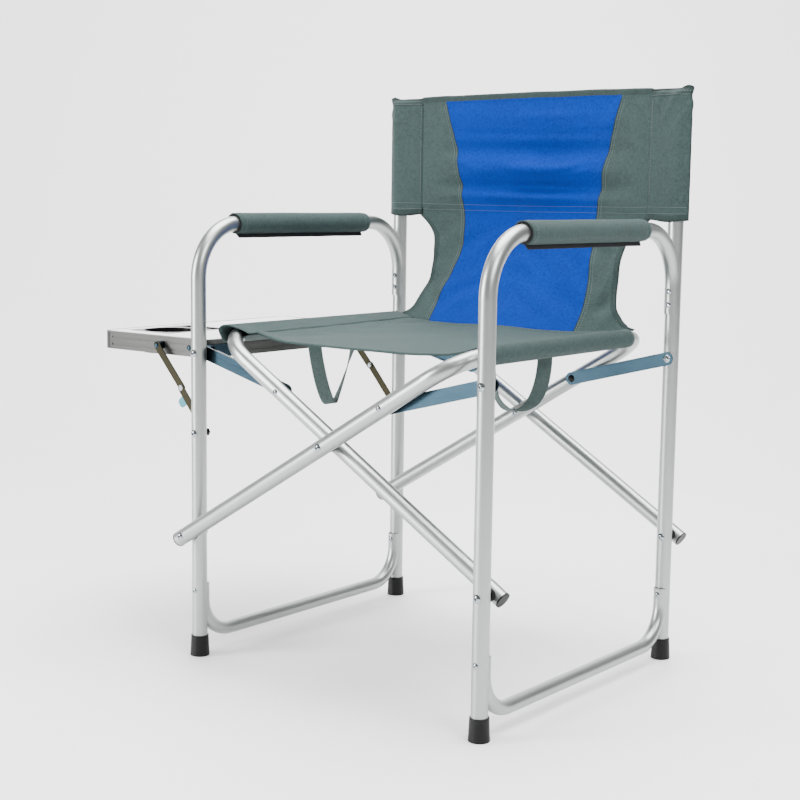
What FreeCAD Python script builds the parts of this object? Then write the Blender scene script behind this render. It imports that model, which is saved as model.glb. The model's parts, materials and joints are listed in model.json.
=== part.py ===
import FreeCAD, Part
import math
import os
import Sketcher

# Folding director chair in aluminium tube, with a fold-down side table.
# Millimetres.  X runs across the chair, Y from front to back, Z up, floor at Z = 0.
# The origin is the middle of the whole footprint, so the chair's own centre line
# stands at X = centre_x because the table reaches out on one side only.

doc = FreeCAD.newDocument("DirectorChair")
sheet = doc.addObject("Spreadsheet::Sheet", "Dimensions")

DIMENSIONS = [
    # alias, value, what it is
    ("centre_x", 110.235, "chair centre line from the origin"),
    ("leg_x", 260, "leg axis from the chair centre line"),
    ("plane_outer", 243, "outer leg plane, front and rear"),
    ("plane_inner", 215, "inner leg plane, front and rear"),
    ("tube_r", 11, "main tube outside radius"),
    ("tube_bore", 9.8, "main tube inside radius"),
    ("saddle_r", 11.03, "radius of a saddle cut that hugs a main tube"),
    ("leg_start", 4, "tube end above the floor"),
    ("arm_height", 625, "arm tube axis above the floor"),
    ("arm_bend", 78, "bend radius of the arm tube"),
    ("saddle_lap", 3, "arm tube tail axis ahead of the rear post axis"),
    ("saddle_end", 506, "lower end of the arm tube tail"),
    ("saddle_low_rivet", 519, "lower rivet of the arm tail"),
    ("saddle_high_rivet", 538, "upper rivet of the arm tail"),
    ("post_top", 812, "top of the rear post tube"),
    ("brace_r", 9.75, "floor brace outside radius"),
    ("brace_bore", 8.55, "floor brace inside radius"),
    ("brace_height", 28.3, "floor brace axis above the floor"),
    ("brace_bend", 55, "floor brace bend radius"),
    ("brace_inset", 6, "brace end axis inside the leg axis"),
    ("brace_top", 106, "top of the brace ends"),
    ("brace_rivet", 97, "brace rivet height"),
    ("cross_height", 182, "lower scissor pivot height"),
    ("link_height", 442, "link pivot on the leg"),
    ("stay_height", 327, "stay pivot on the leg"),
    ("scissor_angle", 31.126, "slope of a scissor frame, degrees"),
    ("cross_along", 303.73, "lower pivot to the scissor's crossing pivot"),
    ("link_along", 422.9, "lower pivot to the link pivot on the scissor"),
    ("rail_along", 560, "lower pivot to the seat rail axis"),
    ("rail_bend", 60, "bend radius into the seat rail"),
    ("tail", 13, "scissor tube tail past its lower pivot"),
    ("bolt_r", 3, "bolt shank radius"),
    ("bolt_hole", 3.05, "bolt hole radius"),
    ("bolt_head_r", 5.5, "bolt head radius"),
    ("bolt_head", 2.6, "bolt head height"),
    ("rivet_r", 2.4, "rivet shank radius"),
    ("rivet_hole", 2.45, "rivet hole radius"),
    ("rivet_head_r", 4.2, "rivet head radius"),
    ("rivet_head", 1.8, "rivet head height"),
    ("gap", 6, "gap between the two leg planes"),
    ("spacer_r", 8.5, "pivot spacer radius"),
    ("foot_r", 14, "foot cap radius at the floor"),
    ("foot_top_r", 12.6, "foot cap radius at its top"),
    ("foot_height", 30, "foot cap height"),
    ("foot_socket", 11.05, "foot cap socket radius"),
    ("foot_base", 3.5, "foot cap floor thickness"),
    ("link_length", 163.3, "seat link between pivots"),
    ("link_slope", 14.68, "seat link slope at rest, degrees"),
    ("link_half", 9.5, "seat link half width"),
    ("link_web", 2, "seat link web thickness"),
    ("link_deep", 5.4, "seat link channel depth"),
    ("table_out", 499, "table outer edge from the centre line"),
    ("table_in", 270, "table inner edge from the centre line"),
    ("table_front", 190, "table front edge ahead of the leg middle"),
    ("table_back", 218, "table rear edge behind the leg middle"),
    ("table_low", 431.5, "table underside"),
    ("table_high", 458, "table top"),
    ("rim_wide", 8, "table rim width"),
    ("corner_r", 22, "table corner radius"),
    ("corner_long", 26, "table corner piece length"),
    ("board_thick", 18, "table board thickness"),
    ("cup_x", 430, "cup well axis from the centre line"),
    ("cup_y", 110, "cup well axis ahead of the leg middle"),
    ("cup_r", 40, "cup well radius"),
    ("cup_wall", 2, "cup well wall"),
    ("cup_low", 425, "underside of the cup well"),
    ("insert_left", 476, "holder insert outer edge"),
    ("insert_right", 380, "holder insert inner edge"),
    ("insert_front", 160, "holder insert front edge"),
    ("insert_back", 27, "holder insert rear edge"),
    ("strap_half", 5.5, "stay strap half width"),
    ("strap_thick", 2, "stay strap thickness"),
    ("flat_head", 0.35, "height of the flat knee rivet head that passes the leg"),
    ("upper_length", 78.94, "upper stay strap between pivots"),
    ("upper_slope", 47.83, "upper stay strap slope, degrees"),
    ("lower_length", 77.72, "lower stay strap between pivots"),
    ("lower_slope", 130.04, "lower stay strap slope, degrees"),
    ("table_pivot_x", 363, "stay pivot on the table"),
    ("table_pivot_z", 445, "stay pivot height on the table"),
    ("sleeve_in", 11.3, "fabric sleeve inside radius"),
    ("seat_sleeve_r", 12.5, "seat sleeve outside radius"),
    ("back_sleeve_r", 13, "back sleeve outside radius"),
    ("back_sleeve_low", 641, "back sleeve bottom"),
    ("back_sleeve_top", 817, "back sleeve top"),
    ("pad_start", 71, "arm pad start behind the front leg"),
    ("pad_end", 363, "arm pad end behind the front leg"),
    ("foam_r", 14, "arm pad foam radius"),
    ("cover_in", 14.05, "arm pad cover inside radius"),
    ("cover_r", 15.5, "arm pad cover outside radius"),
    ("seat_half", 204, "seat panel half width"),
    ("seat_front", 175, "seat panel front edge"),
    ("seat_back", 150, "seat panel rear edge"),
    ("seat_low", 466, "seat panel underside"),
    ("seat_high", 469, "seat panel top"),
    ("back_half", 246.8, "back panel half width"),
    ("back_low", 500, "back panel lower edge"),
    ("back_top", 822, "back panel top edge"),
    ("panel_thick", 3, "back panel thickness"),
    ("back_turn", 3.082, "back panel turn in plan, degrees"),
    ("loop_wide", 22, "webbing width"),
    ("loop_thick", 2, "webbing thickness"),
    ("loop_off", 12.8, "webbing face from the rail axis"),
    ("loop_bend", 14, "webbing loop corner radius"),
]

VALUES = {}
for row, (alias, value, note) in enumerate(DIMENSIONS, start=1):
    sheet.set("A%d" % row, note)
    sheet.set("B%d" % row, str(value))
    sheet.setAlias("B%d" % row, alias)
    VALUES[alias] = float(value)
doc.recompute()


class Size:
    """A length that keeps its number together with its spreadsheet expression."""

    def __init__(self, number, text):
        self.number = number
        self.text = text

    def __add__(self, other):
        other = as_size(other)
        return Size(self.number + other.number, "(%s + %s)" % (self.text, other.text))

    def __sub__(self, other):
        other = as_size(other)
        return Size(self.number - other.number, "(%s - %s)" % (self.text, other.text))

    def __mul__(self, other):
        other = as_size(other)
        return Size(self.number * other.number, "(%s * %s)" % (self.text, other.text))

    def __truediv__(self, other):
        other = as_size(other)
        return Size(self.number / other.number, "(%s / %s)" % (self.text, other.text))

    def __neg__(self):
        return Size(-self.number, "(0 - %s)" % self.text)

    def bound(self):
        return "Dimensions" in self.text


def as_size(value):
    if isinstance(value, Size):
        return value
    return Size(float(value), "(%s)" % value if value < 0 else str(value))


def dim(alias):
    return Size(VALUES[alias], "Dimensions." + alias)


ZERO = as_size(0)
DEPTH = dim("plane_outer") + dim("plane_inner")


# ---------------------------------------------------------------- small helpers

def bind(item, path, size):
    """Tie one property of an object to the spreadsheet."""
    size = as_size(size)
    if size.bound():
        item.setExpression(path, size.text)


def place(item, x=ZERO, y=ZERO, z=ZERO, axis=None, angle=None):
    """Put an object at a point, turned about an axis by an angle in degrees."""
    x, y, z = as_size(x), as_size(y), as_size(z)
    rotation = FreeCAD.Rotation()
    if axis is not None:
        rotation = FreeCAD.Rotation(FreeCAD.Vector(*axis), as_size(angle).number)
    item.Placement = FreeCAD.Placement(FreeCAD.Vector(x.number, y.number, z.number), rotation)
    for name, size in (("x", x), ("y", y), ("z", z)):
        bind(item, "Placement.Base." + name, size)
    if axis is not None and as_size(angle).bound():
        item.setExpression("Placement.Rotation.Angle", as_size(angle).text)
    return item


def new_body(label, **where):
    body = doc.addObject("PartDesign::Body", label)
    body.Label = label
    place(body, **where)
    return body


def new_sketch(body, plane, name, offset=ZERO):
    """A sketch on one of the body's origin planes, lifted along that plane's normal."""
    sketch = body.newObject("Sketcher::SketchObject", body.Name + "_" + name)
    plane_object = [f for f in body.Origin.OriginFeatures if f.Role == plane][0]
    sketch.AttachmentSupport = [(plane_object, "")]
    sketch.MapMode = "FlatFace"
    offset = as_size(offset)
    sketch.AttachmentOffset = FreeCAD.Placement(
        FreeCAD.Vector(0, 0, offset.number), FreeCAD.Rotation())
    bind(sketch, "AttachmentOffset.Base.z", offset)
    return sketch


def limit(sketch, kind, *arguments):
    """Add a dimension to a sketch and tie it to the spreadsheet."""
    size = as_size(arguments[-1])
    index = sketch.addConstraint(Sketcher.Constraint(kind, *arguments[:-1], size.number))
    bind(sketch, "Constraints[%d]" % index, size)


def pin(sketch, item, end, x, y):
    limit(sketch, "DistanceX", item, end, x)
    limit(sketch, "DistanceY", item, end, y)


def circle(sketch, x, y, radius):
    x, y, radius = as_size(x), as_size(y), as_size(radius)
    shape = Part.Circle(FreeCAD.Vector(x.number, y.number, 0), FreeCAD.Vector(0, 0, 1), radius.number)
    item = sketch.addGeometry(shape)
    pin(sketch, item, 3, x, y)
    limit(sketch, "Radius", item, radius)


def sign(number):
    return (number > 1e-9) - (number < -1e-9)


def trace(sketch, corners, closed=False):
    """Draw a square-cornered line.  Each corner is (x, y) or (x, y, bend radius)."""
    count = len(corners)
    points = [(as_size(c[0]), as_size(c[1])) for c in corners]
    bends = [as_size(c[2]) if len(c) > 2 else None for c in corners]
    steps = []
    for i in range(count if closed else count - 1):
        a, b = points[i], points[(i + 1) % count]
        steps.append((sign(b[0].number - a[0].number), sign(b[1].number - a[1].number)))
    entry, leave = list(points), list(points)
    for i in range(count):
        if bends[i] is not None:
            before, after = steps[i - 1], steps[i % len(steps)]
            x, y = points[i]
            entry[i] = (x - bends[i] * before[0], y - bends[i] * before[1])
            leave[i] = (x + bends[i] * after[0], y + bends[i] * after[1])
    lines = []
    for i in range(len(steps)):
        a, b = leave[i], entry[(i + 1) % count]
        start = FreeCAD.Vector(a[0].number, a[1].number, 0)
        finish = FreeCAD.Vector(b[0].number, b[1].number, 0)
        line = sketch.addGeometry(Part.LineSegment(start, finish))
        pin(sketch, line, 1, a[0], a[1])
        pin(sketch, line, 2, b[0], b[1])
        lines.append(line)
    for i in range(count):
        if bends[i] is None:
            continue
        before, after = steps[i - 1], steps[i % len(steps)]
        radius = bends[i].number
        centre = FreeCAD.Vector(
            entry[i][0].number + after[0] * radius, entry[i][1].number + after[1] * radius, 0)
        first = math.atan2(entry[i][1].number - centre.y, entry[i][0].number - centre.x)
        last = math.atan2(leave[i][1].number - centre.y, leave[i][0].number - centre.x)
        left_turn = before[0] * after[1] - before[1] * after[0] > 0
        if not left_turn:
            first, last = last, first
        ring = Part.Circle(centre, FreeCAD.Vector(0, 0, 1), radius)
        while last < first:
            last += 2 * math.pi
        arc = sketch.addGeometry(Part.ArcOfCircle(ring, first, last))
        arc_in, arc_out = (1, 2) if left_turn else (2, 1)
        sketch.addConstraint(Sketcher.Constraint("Coincident", arc, arc_in, lines[i - 1], 2))
        sketch.addConstraint(
            Sketcher.Constraint("Coincident", arc, arc_out, lines[i % len(lines)], 1))
        limit(sketch, "Radius", arc, bends[i])


def box_outline(sketch, x0, x1, y0, y1, bend=None):
    corners = [(x0, y0), (x1, y0), (x1, y1), (x0, y1)]
    if bend is not None:
        corners = [(x, y, bend) for x, y in corners]
    trace(sketch, corners, closed=True)


def slot_outline(sketch, length, half):
    """A bar with round ends, from the sketch origin along its X axis."""
    length, half = as_size(length), as_size(half)
    ends = (ZERO, length)
    for number, y in ((0, -half), (1, half)):
        line = sketch.addGeometry(Part.LineSegment(
            FreeCAD.Vector(0, y.number, 0), FreeCAD.Vector(length.number, y.number, 0)))
        pin(sketch, line, 1, ZERO, y)
        pin(sketch, line, 2, length, y)
    for number, x in enumerate(ends):
        ring = Part.Circle(FreeCAD.Vector(x.number, 0, 0), FreeCAD.Vector(0, 0, 1), half.number)
        first = math.pi / 2 if number == 0 else -math.pi / 2
        arc = sketch.addGeometry(Part.ArcOfCircle(ring, first, first + math.pi))
        low_end, high_end = (2, 1) if number == 0 else (1, 2)
        sketch.addConstraint(Sketcher.Constraint("Coincident", arc, low_end, 0, number + 1))
        sketch.addConstraint(Sketcher.Constraint("Coincident", arc, high_end, 1, number + 1))
        limit(sketch, "DistanceX", arc, 3, x)


def pad(body, sketch, length, reverse=False):
    doc.recompute()
    feature = body.newObject("PartDesign::Pad", sketch.Name + "_pad")
    feature.Profile = sketch
    feature.Length = as_size(length).number
    bind(feature, "Length", length)
    feature.Reversed = reverse
    doc.recompute()
    return feature


def cut(body, sketch, length=None, reverse=False):
    """Pocket a sketch, right through both ways when no length is given."""
    doc.recompute()
    before = body.Shape.Volume
    feature = body.newObject("PartDesign::Pocket", sketch.Name + "_cut")
    feature.Profile = sketch
    if length is None:
        feature.Type = "ThroughAll"
        feature.Midplane = True
    else:
        feature.Type = "Length"
        feature.Length = as_size(length).number
        bind(feature, "Length", length)
        feature.Reversed = reverse
    doc.recompute()
    if body.Shape.Volume >= before - 1e-3:
        raise RuntimeError("cut removed nothing: " + feature.Name)
    return feature


def drill(body, name, holes, radius, plane="XZ_Plane"):
    """Holes straight through a body, square to one plane."""
    sketch = new_sketch(body, plane, name)
    for x, y in holes:
        circle(sketch, x, y, radius)
    return cut(body, sketch)


def tube_along(body, corners, path_plane, ring_plane, ring_offset, ring_centre, radius, bore):
    """A round tube swept along a square-cornered path with bent corners."""
    path = new_sketch(body, path_plane, "path")
    trace(path, corners)
    ring = new_sketch(body, ring_plane, "ring", ring_offset)
    circle(ring, ring_centre[0], ring_centre[1], radius)
    circle(ring, ring_centre[0], ring_centre[1], bore)
    doc.recompute()
    pipe = body.newObject("PartDesign::AdditivePipe", body.Name + "_tube")
    pipe.Profile = ring
    pipe.Spine = path
    doc.recompute()
    return pipe


def ring_sleeve(label, radius, bore, start, finish, centre, **where):
    """A plain tube of cloth or foam along the body's Y axis."""
    body = new_body(label, **where)
    sketch = new_sketch(body, "XZ_Plane", "ring", -finish)
    circle(sketch, centre[0], centre[1], radius)
    circle(sketch, centre[0], centre[1], bore)
    pad(body, sketch, finish - start)
    return body


# ------------------------------------------------------------ turned hardware

def solid(kind, name, **sizes):
    item = doc.addObject("Part::" + kind, name)
    for key, size in sizes.items():
        size = as_size(size)
        setattr(item, key, size.number)
        bind(item, key, size)
    return item


def dome(name, radius, height, upward, at=ZERO):
    """A low spherical cap; its flat side lies at one height along the part's own Z."""
    radius, height = as_size(radius), as_size(height)
    ball = (radius * radius + height * height) / (height * 2)
    item = solid("Sphere", name, Radius=ball)
    lift = math.degrees(math.asin((ball.number - height.number) / ball.number))
    formula = "asin((%s - %s) / %s)" % (ball.text, height.text, ball.text)
    item.Angle1 = lift if upward else -90
    item.Angle2 = 90 if upward else -lift
    if ball.bound():
        end, text = ("Angle1", formula) if upward else ("Angle2", "-1 * " + formula)
        item.setExpression(end, text)
    shift = height - ball if upward else ball - height
    return place(item, z=as_size(at) + shift)


def cap_on_face(name, radius, height, x, y, z, forward):
    """A dome on a face square to Y, bulging forward along +Y or back along -Y."""
    radius, height = as_size(radius), as_size(height)
    item = dome(name, radius, height, True)
    ball = (radius * radius + height * height) / (height * 2)
    shift = (height - ball) * (1 if forward else -1)
    turn = -90 if forward else 90
    return place(item, x=x, y=y + shift, z=z, axis=(1, 0, 0), angle=turn)


def along_y(item, x, y, z):
    """Stand a part built along Z so that it runs along Y from the given point."""
    return place(item, x=x, y=y, z=z, axis=(1, 0, 0), angle=-90)


def pin_with_heads(name, x, y, z, reach, shank, head_r, head, low=True, high=True):
    pieces = [solid("Cylinder", name + "_shank", Radius=shank, Height=reach)]
    if low:
        pieces.append(dome(name + "_low_head", head_r, head, False))
    if high:
        pieces.append(dome(name + "_high_head", head_r, head, True, at=reach))
    joined = doc.addObject("Part::MultiFuse", name + "_solid")
    joined.Shapes = pieces
    # each head is a rivet eye, hollow in the middle
    eye = as_size(shank) * 0.62
    deep = as_size(head) * 0.8
    eyes = []
    for wanted, start in ((low, -as_size(head) - 1), (high, as_size(reach) + head - deep)):
        if wanted:
            hollow = solid("Cylinder", "%s_eye_%d" % (name, len(eyes)), Radius=eye,
                           Height=deep + 1)
            eyes.append(place(hollow, z=start))
    drilled = joined
    for number, hollow in enumerate(eyes):
        piece = doc.addObject("Part::Cut", "%s_drilled_%d" % (name, number))
        piece.Base = drilled
        piece.Tool = hollow
        drilled = piece
    return along_y(drilled, x, y, z)


def bolt(name, x, y, z, reach, low=True, high=True):
    return pin_with_heads(name, x, y, z, reach, dim("bolt_r"), dim("bolt_head_r"),
                          dim("bolt_head"), low, high)


def rivet(name, x, y, z, reach, low=True, high=True):
    return pin_with_heads(name, x, y, z, reach, dim("rivet_r"), dim("rivet_head_r"),
                          dim("rivet_head"), low, high)


def bush(name, x, y, z, reach, radius, bore):
    outside = solid("Cylinder", name + "_outside", Radius=radius, Height=reach)
    inside = solid("Cylinder", name + "_inside", Radius=bore, Height=as_size(reach) + 2)
    place(inside, z=-1)
    ring = doc.addObject("Part::Cut", name)
    ring.Base = outside
    ring.Tool = inside
    return along_y(ring, x, y, z)


def cap_nut(name, x, y, z, forward, tall=3.2, radius=5.9):
    """A hexagon nut with a domed end, bored to take a bolt end."""
    block = solid("Prism", name + "_block", Circumradius=radius, Height=tall)
    block.Polygon = 6
    crown = dome(name + "_crown", radius * 0.84, 2.2, True, at=tall)
    joined = doc.addObject("Part::MultiFuse", name + "_body")
    joined.Shapes = [block, crown]
    hole = solid("Cylinder", name + "_bore", Radius=dim("bolt_hole"), Height=as_size(tall) + 0.6)
    place(hole, z=-0.6)
    nut = doc.addObject("Part::Cut", name)
    nut.Base = joined
    nut.Tool = hole
    return place(nut, x=x, y=y, z=z, axis=(1, 0, 0), angle=-90 if forward else 90)


def group(label, pieces):
    item = doc.addObject("Part::Compound", label)
    item.Label = label
    item.Links = pieces
    return item


# ------------------------------------------------------------------- side frames

def frame_place(side):
    """Origin of a side frame: the foot of its front leg."""
    front = dim("plane_inner") if side < 0 else dim("plane_outer")
    return {"x": dim("centre_x") + dim("leg_x") * side, "y": -front}


def leg_holes(side):
    heights = [dim("cross_height"), dim("link_height")]
    if side < 0:
        heights.append(dim("stay_height"))
    return [(ZERO, height) for height in heights]


def build_side_frame(name, side):
    """One bent leg-and-arm tube, a rear post, a floor brace and their fittings."""
    where = frame_place(side)
    nodes = []

    legs = new_body("leg_arm_tube_" + name, **where)
    tail_y = DEPTH - dim("saddle_lap")
    path = [(ZERO, dim("leg_start")),
            (ZERO, dim("arm_height"), dim("arm_bend")),
            (tail_y, dim("arm_height"), dim("arm_bend")),
            (tail_y, dim("saddle_end"))]
    tube_along(legs, path, "YZ_Plane", "XY_Plane", dim("leg_start"), (ZERO, ZERO),
               dim("tube_r"), dim("tube_bore"))
    saddle = new_sketch(legs, "XY_Plane", "saddle")
    circle(saddle, ZERO, DEPTH, dim("saddle_r"))
    cut(legs, saddle)
    trim = new_sketch(legs, "XY_Plane", "trim")
    box_outline(trim, as_size(-15), as_size(15), DEPTH - dim("saddle_lap"), DEPTH + 20)
    cut(legs, trim)
    drill(legs, "bolt_holes", leg_holes(side), dim("bolt_hole"))
    drill(legs, "brace_hole", [(ZERO, dim("brace_rivet"))], dim("rivet_hole"))
    saddle_rivets = [(ZERO, dim("saddle_low_rivet")), (ZERO, dim("saddle_high_rivet"))]
    tail_holes = new_sketch(legs, "XZ_Plane", "tail_holes", -DEPTH * 0.5)
    for x, z in saddle_rivets:
        circle(tail_holes, x, z, dim("rivet_hole"))
    cut(legs, tail_holes, DEPTH * 0.5 + 20)
    nodes.append(legs)

    post = new_body("rear_post_" + name, x=where["x"], y=where["y"] + DEPTH)
    section = new_sketch(post, "XY_Plane", "section", dim("leg_start"))
    circle(section, ZERO, ZERO, dim("tube_r"))
    circle(section, ZERO, ZERO, dim("tube_bore"))
    pad(post, section, dim("post_top") - dim("leg_start"))
    drill(post, "bolt_holes", leg_holes(side), dim("bolt_hole"))
    drill(post, "rivet_holes", [(ZERO, dim("brace_rivet"))] + saddle_rivets, dim("rivet_hole"))
    nodes.append(post)

    plug = new_body("post_plug_" + name, x=where["x"], y=where["y"] + DEPTH, z=dim("post_top"))
    stem = new_sketch(plug, "XY_Plane", "stem", -12)
    circle(stem, ZERO, ZERO, dim("tube_bore") - 0.05)
    pad(plug, stem, 12)
    lid = new_sketch(plug, "XY_Plane", "lid")
    circle(lid, ZERO, ZERO, dim("tube_r"))
    pad(plug, lid, 2.5)
    nodes.append(plug)

    brace = new_body("floor_brace_" + name, **where)
    inset = dim("brace_inset")
    path = [(inset, dim("brace_top")),
            (inset, dim("brace_height"), dim("brace_bend")),
            (DEPTH - inset, dim("brace_height"), dim("brace_bend")),
            (DEPTH - inset, dim("brace_top"))]
    tube_along(brace, path, "YZ_Plane", "XY_Plane", dim("brace_top"), (ZERO, inset),
               dim("brace_r"), dim("brace_bore"))
    hug = new_sketch(brace, "XY_Plane", "hug")
    circle(hug, ZERO, ZERO, dim("saddle_r"))
    circle(hug, ZERO, DEPTH, dim("saddle_r"))
    cut(brace, hug)
    drill(brace, "rivet_holes", [(ZERO, dim("brace_rivet"))], dim("rivet_hole"))
    nodes.append(brace)

    for end, offset in (("front", ZERO), ("rear", DEPTH)):
        cap = new_body("foot_cap_%s_%s" % (end, name), x=where["x"], y=where["y"] + offset)
        profile = new_sketch(cap, "XZ_Plane", "profile")
        points = [(ZERO, ZERO), (dim("foot_r"), ZERO), (dim("foot_top_r"), dim("foot_height")),
                  (dim("foot_socket"), dim("foot_height")), (dim("foot_socket"), dim("foot_base")),
                  (ZERO, dim("foot_base"))]
        for number, (x, z) in enumerate(points):
            after = points[(number + 1) % len(points)]
            line = profile.addGeometry(Part.LineSegment(
                FreeCAD.Vector(x.number, z.number, 0),
                FreeCAD.Vector(after[0].number, after[1].number, 0)))
            pin(profile, line, 1, x, z)
            pin(profile, line, 2, after[0], after[1])
        doc.recompute()
        turned = cap.newObject("PartDesign::Revolution", cap.Name + "_turned")
        turned.Profile = profile
        turned.ReferenceAxis = (profile, ["V_Axis"])
        turned.Angle = 360
        doc.recompute()
        nodes.append(cap)

    nodes.append(build_frame_rivets(name, where))
    nodes.append(build_pivot_bolts(name, side, where))
    nodes.append(build_pivot_spacers(name, side, where))
    if side < 0:
        nodes.append(build_cap_nuts(where["x"]))
    nodes.extend(build_arm_pad(name, where))

    sleeve = new_body("back_sleeve_" + name, x=where["x"], y=where["y"] + DEPTH,
                      z=dim("back_sleeve_low"))
    ring = new_sketch(sleeve, "XY_Plane", "ring")
    circle(ring, ZERO, ZERO, dim("back_sleeve_r"))
    circle(ring, ZERO, ZERO, dim("sleeve_in"))
    pad(sleeve, ring, dim("back_sleeve_top") - dim("back_sleeve_low"))
    nodes.append(sleeve)
    return nodes


def build_frame_rivets(name, where):
    """Rivets that hold the arm tail to the post and the brace to the legs."""
    pieces = []
    outer = dim("brace_inset") + dim("brace_r")
    for end, y, reach in (
            ("front", where["y"] - dim("tube_r"), dim("tube_r") + outer),
            ("rear", where["y"] + DEPTH - outer, dim("tube_r") + outer)):
        pieces.append(rivet("brace_rivet_%s_%s" % (end, name), where["x"], y,
                            dim("brace_rivet"), reach))
    lap = dim("tube_r") + dim("saddle_lap")
    for level in ("saddle_low_rivet", "saddle_high_rivet"):
        pieces.append(rivet("%s_%s" % (level, name), where["x"], where["y"] + DEPTH - lap,
                            dim(level), dim("tube_r") + lap))
    return group("frame_rivets_" + name, pieces)


def outer_face():
    return dim("plane_outer") + dim("tube_r")


def inner_face():
    return dim("plane_inner") - dim("tube_r")


def build_pivot_bolts(name, side, where):
    """Bolts through the legs: lower scissor pivots, link pivots and, on one side, the stay."""
    x = where["x"]
    thread = 3
    through = dim("tube_r") * 4 + dim("gap")
    low = dim("cross_height")
    link = dim("link_height")
    stay = dim("stay_height")
    pieces = [bolt("low_bolt_front_" + name, x, -outer_face(), low, through),
              bolt("low_bolt_rear_" + name, x, inner_face(), low, through)]
    if side < 0:
        front = -(dim("plane_inner") + dim("tube_r"))
        rear = dim("plane_outer") + dim("tube_r")
        hinge_front = -dim("table_front")
        hinge_rear = dim("table_back")
        pieces.append(bolt("link_bolt_front_" + name, x, front, link,
                           hinge_front - front + thread, high=False))
        pieces.append(bolt("link_bolt_rear_" + name, x, hinge_rear - thread, link,
                           rear - hinge_rear + thread, low=False))
        strap = dim("strap_thick") + 0.5
        wide = dim("tube_r") * 2
        pieces.append(bolt("stay_bolt_front_" + name, x, front, stay,
                           wide + strap + thread, high=False))
        pieces.append(bolt("stay_bolt_rear_" + name, x, rear - wide - strap - thread, stay,
                           wide + strap + thread, low=False))
    else:
        wide = dim("tube_r") * 2 + 0.3 + dim("link_web")
        pieces.append(bolt("link_bolt_front_" + name, x, -outer_face(), link, wide))
        pieces.append(bolt("link_bolt_rear_" + name, x,
                           dim("plane_inner") + dim("tube_r") - wide, link, wide))
    return group("pivot_bolts_" + name, pieces)


def build_pivot_spacers(name, side, where):
    """Rings that keep the two leg planes apart, and the long bushes beside the table hinge."""
    x = where["x"]
    gap_face = dim("plane_inner") + dim("tube_r")
    thin = 0.05
    pieces = []
    for end, y in (("front", -gap_face - dim("gap")), ("rear", gap_face)):
        pieces.append(bush("low_spacer_%s_%s" % (end, name), x, y + thin, dim("cross_height"),
                           dim("gap") - 2 * thin, dim("spacer_r"), dim("bolt_hole")))
    if side < 0:
        web = dim("link_web") + 0.5
        start = -inner_face() + web
        finish = -dim("table_front") - 2.2
        pieces.append(bush("hinge_bush_front", x, start, dim("link_height"), finish - start,
                           6, dim("bolt_hole")))
        start = dim("table_back") + 2.2
        finish = dim("plane_outer") - dim("tube_r") - web
        pieces.append(bush("hinge_bush_rear", x, start, dim("link_height"), finish - start,
                           6, dim("bolt_hole")))
    return group("pivot_spacers_" + name, pieces)


def build_cap_nuts(x):
    """Domed nuts on the inner ends of the table hinge and stay bolts."""
    link = dim("link_height")
    stay = dim("stay_height")
    strap = dim("strap_thick") + 0.5
    return group("cap_nuts_left", [
        cap_nut("hinge_nut_front", x, -dim("table_front") + 0.2, link, True),
        cap_nut("hinge_nut_rear", x, dim("table_back") - 0.2, link, False),
        cap_nut("stay_nut_front", x, -inner_face() + strap, stay, True),
        cap_nut("stay_nut_rear", x, dim("plane_outer") - dim("tube_r") - strap, stay, False)])


def build_arm_pad(name, where):
    """Foam round the arm tube and a cloth cover closed by a flap underneath."""
    place_here = {"x": where["x"], "y": where["y"], "z": dim("arm_height")}
    foam = ring_sleeve("arm_foam_" + name, dim("foam_r"), dim("tube_r") + 0.05,
                       dim("pad_start") + 1, dim("pad_end") - 1, (ZERO, ZERO), **place_here)
    cover = ring_sleeve("arm_cover_" + name, dim("cover_r"), dim("cover_in"),
                        dim("pad_start"), dim("pad_end"), (ZERO, ZERO), **place_here)
    flap = new_sketch(cover, "XZ_Plane", "flap", -dim("pad_end"))
    box_outline(flap, as_size(-1.2), as_size(1.2), -dim("cover_r") - 5, -dim("cover_r") + 0.9)
    pad(cover, flap, dim("pad_end") - dim("pad_start"))
    return [foam, cover]


# ------------------------------------------------------------------ scissor frames

def scissor_place(side):
    """The scissor whose lower end sits on the given side; its body X runs up the tube."""
    front = dim("plane_outer") if side < 0 else dim("plane_inner")
    turn = -dim("scissor_angle") if side < 0 else dim("scissor_angle") - 180
    return {"x": dim("centre_x") + dim("leg_x") * side, "y": -front, "z": dim("cross_height"),
            "axis": (0, 1, 0), "angle": turn}


def scissor_point(side, along):
    """A point on the scissor tube, in the chair's own axes."""
    slope = math.radians(VALUES["scissor_angle"])
    run = Size(math.cos(slope), "cos(Dimensions.scissor_angle * 1deg)")
    rise = Size(math.sin(slope), "sin(Dimensions.scissor_angle * 1deg)")
    x = dim("centre_x") + dim("leg_x") * side - along * run * side
    return x, dim("cross_height") + along * rise


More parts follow.
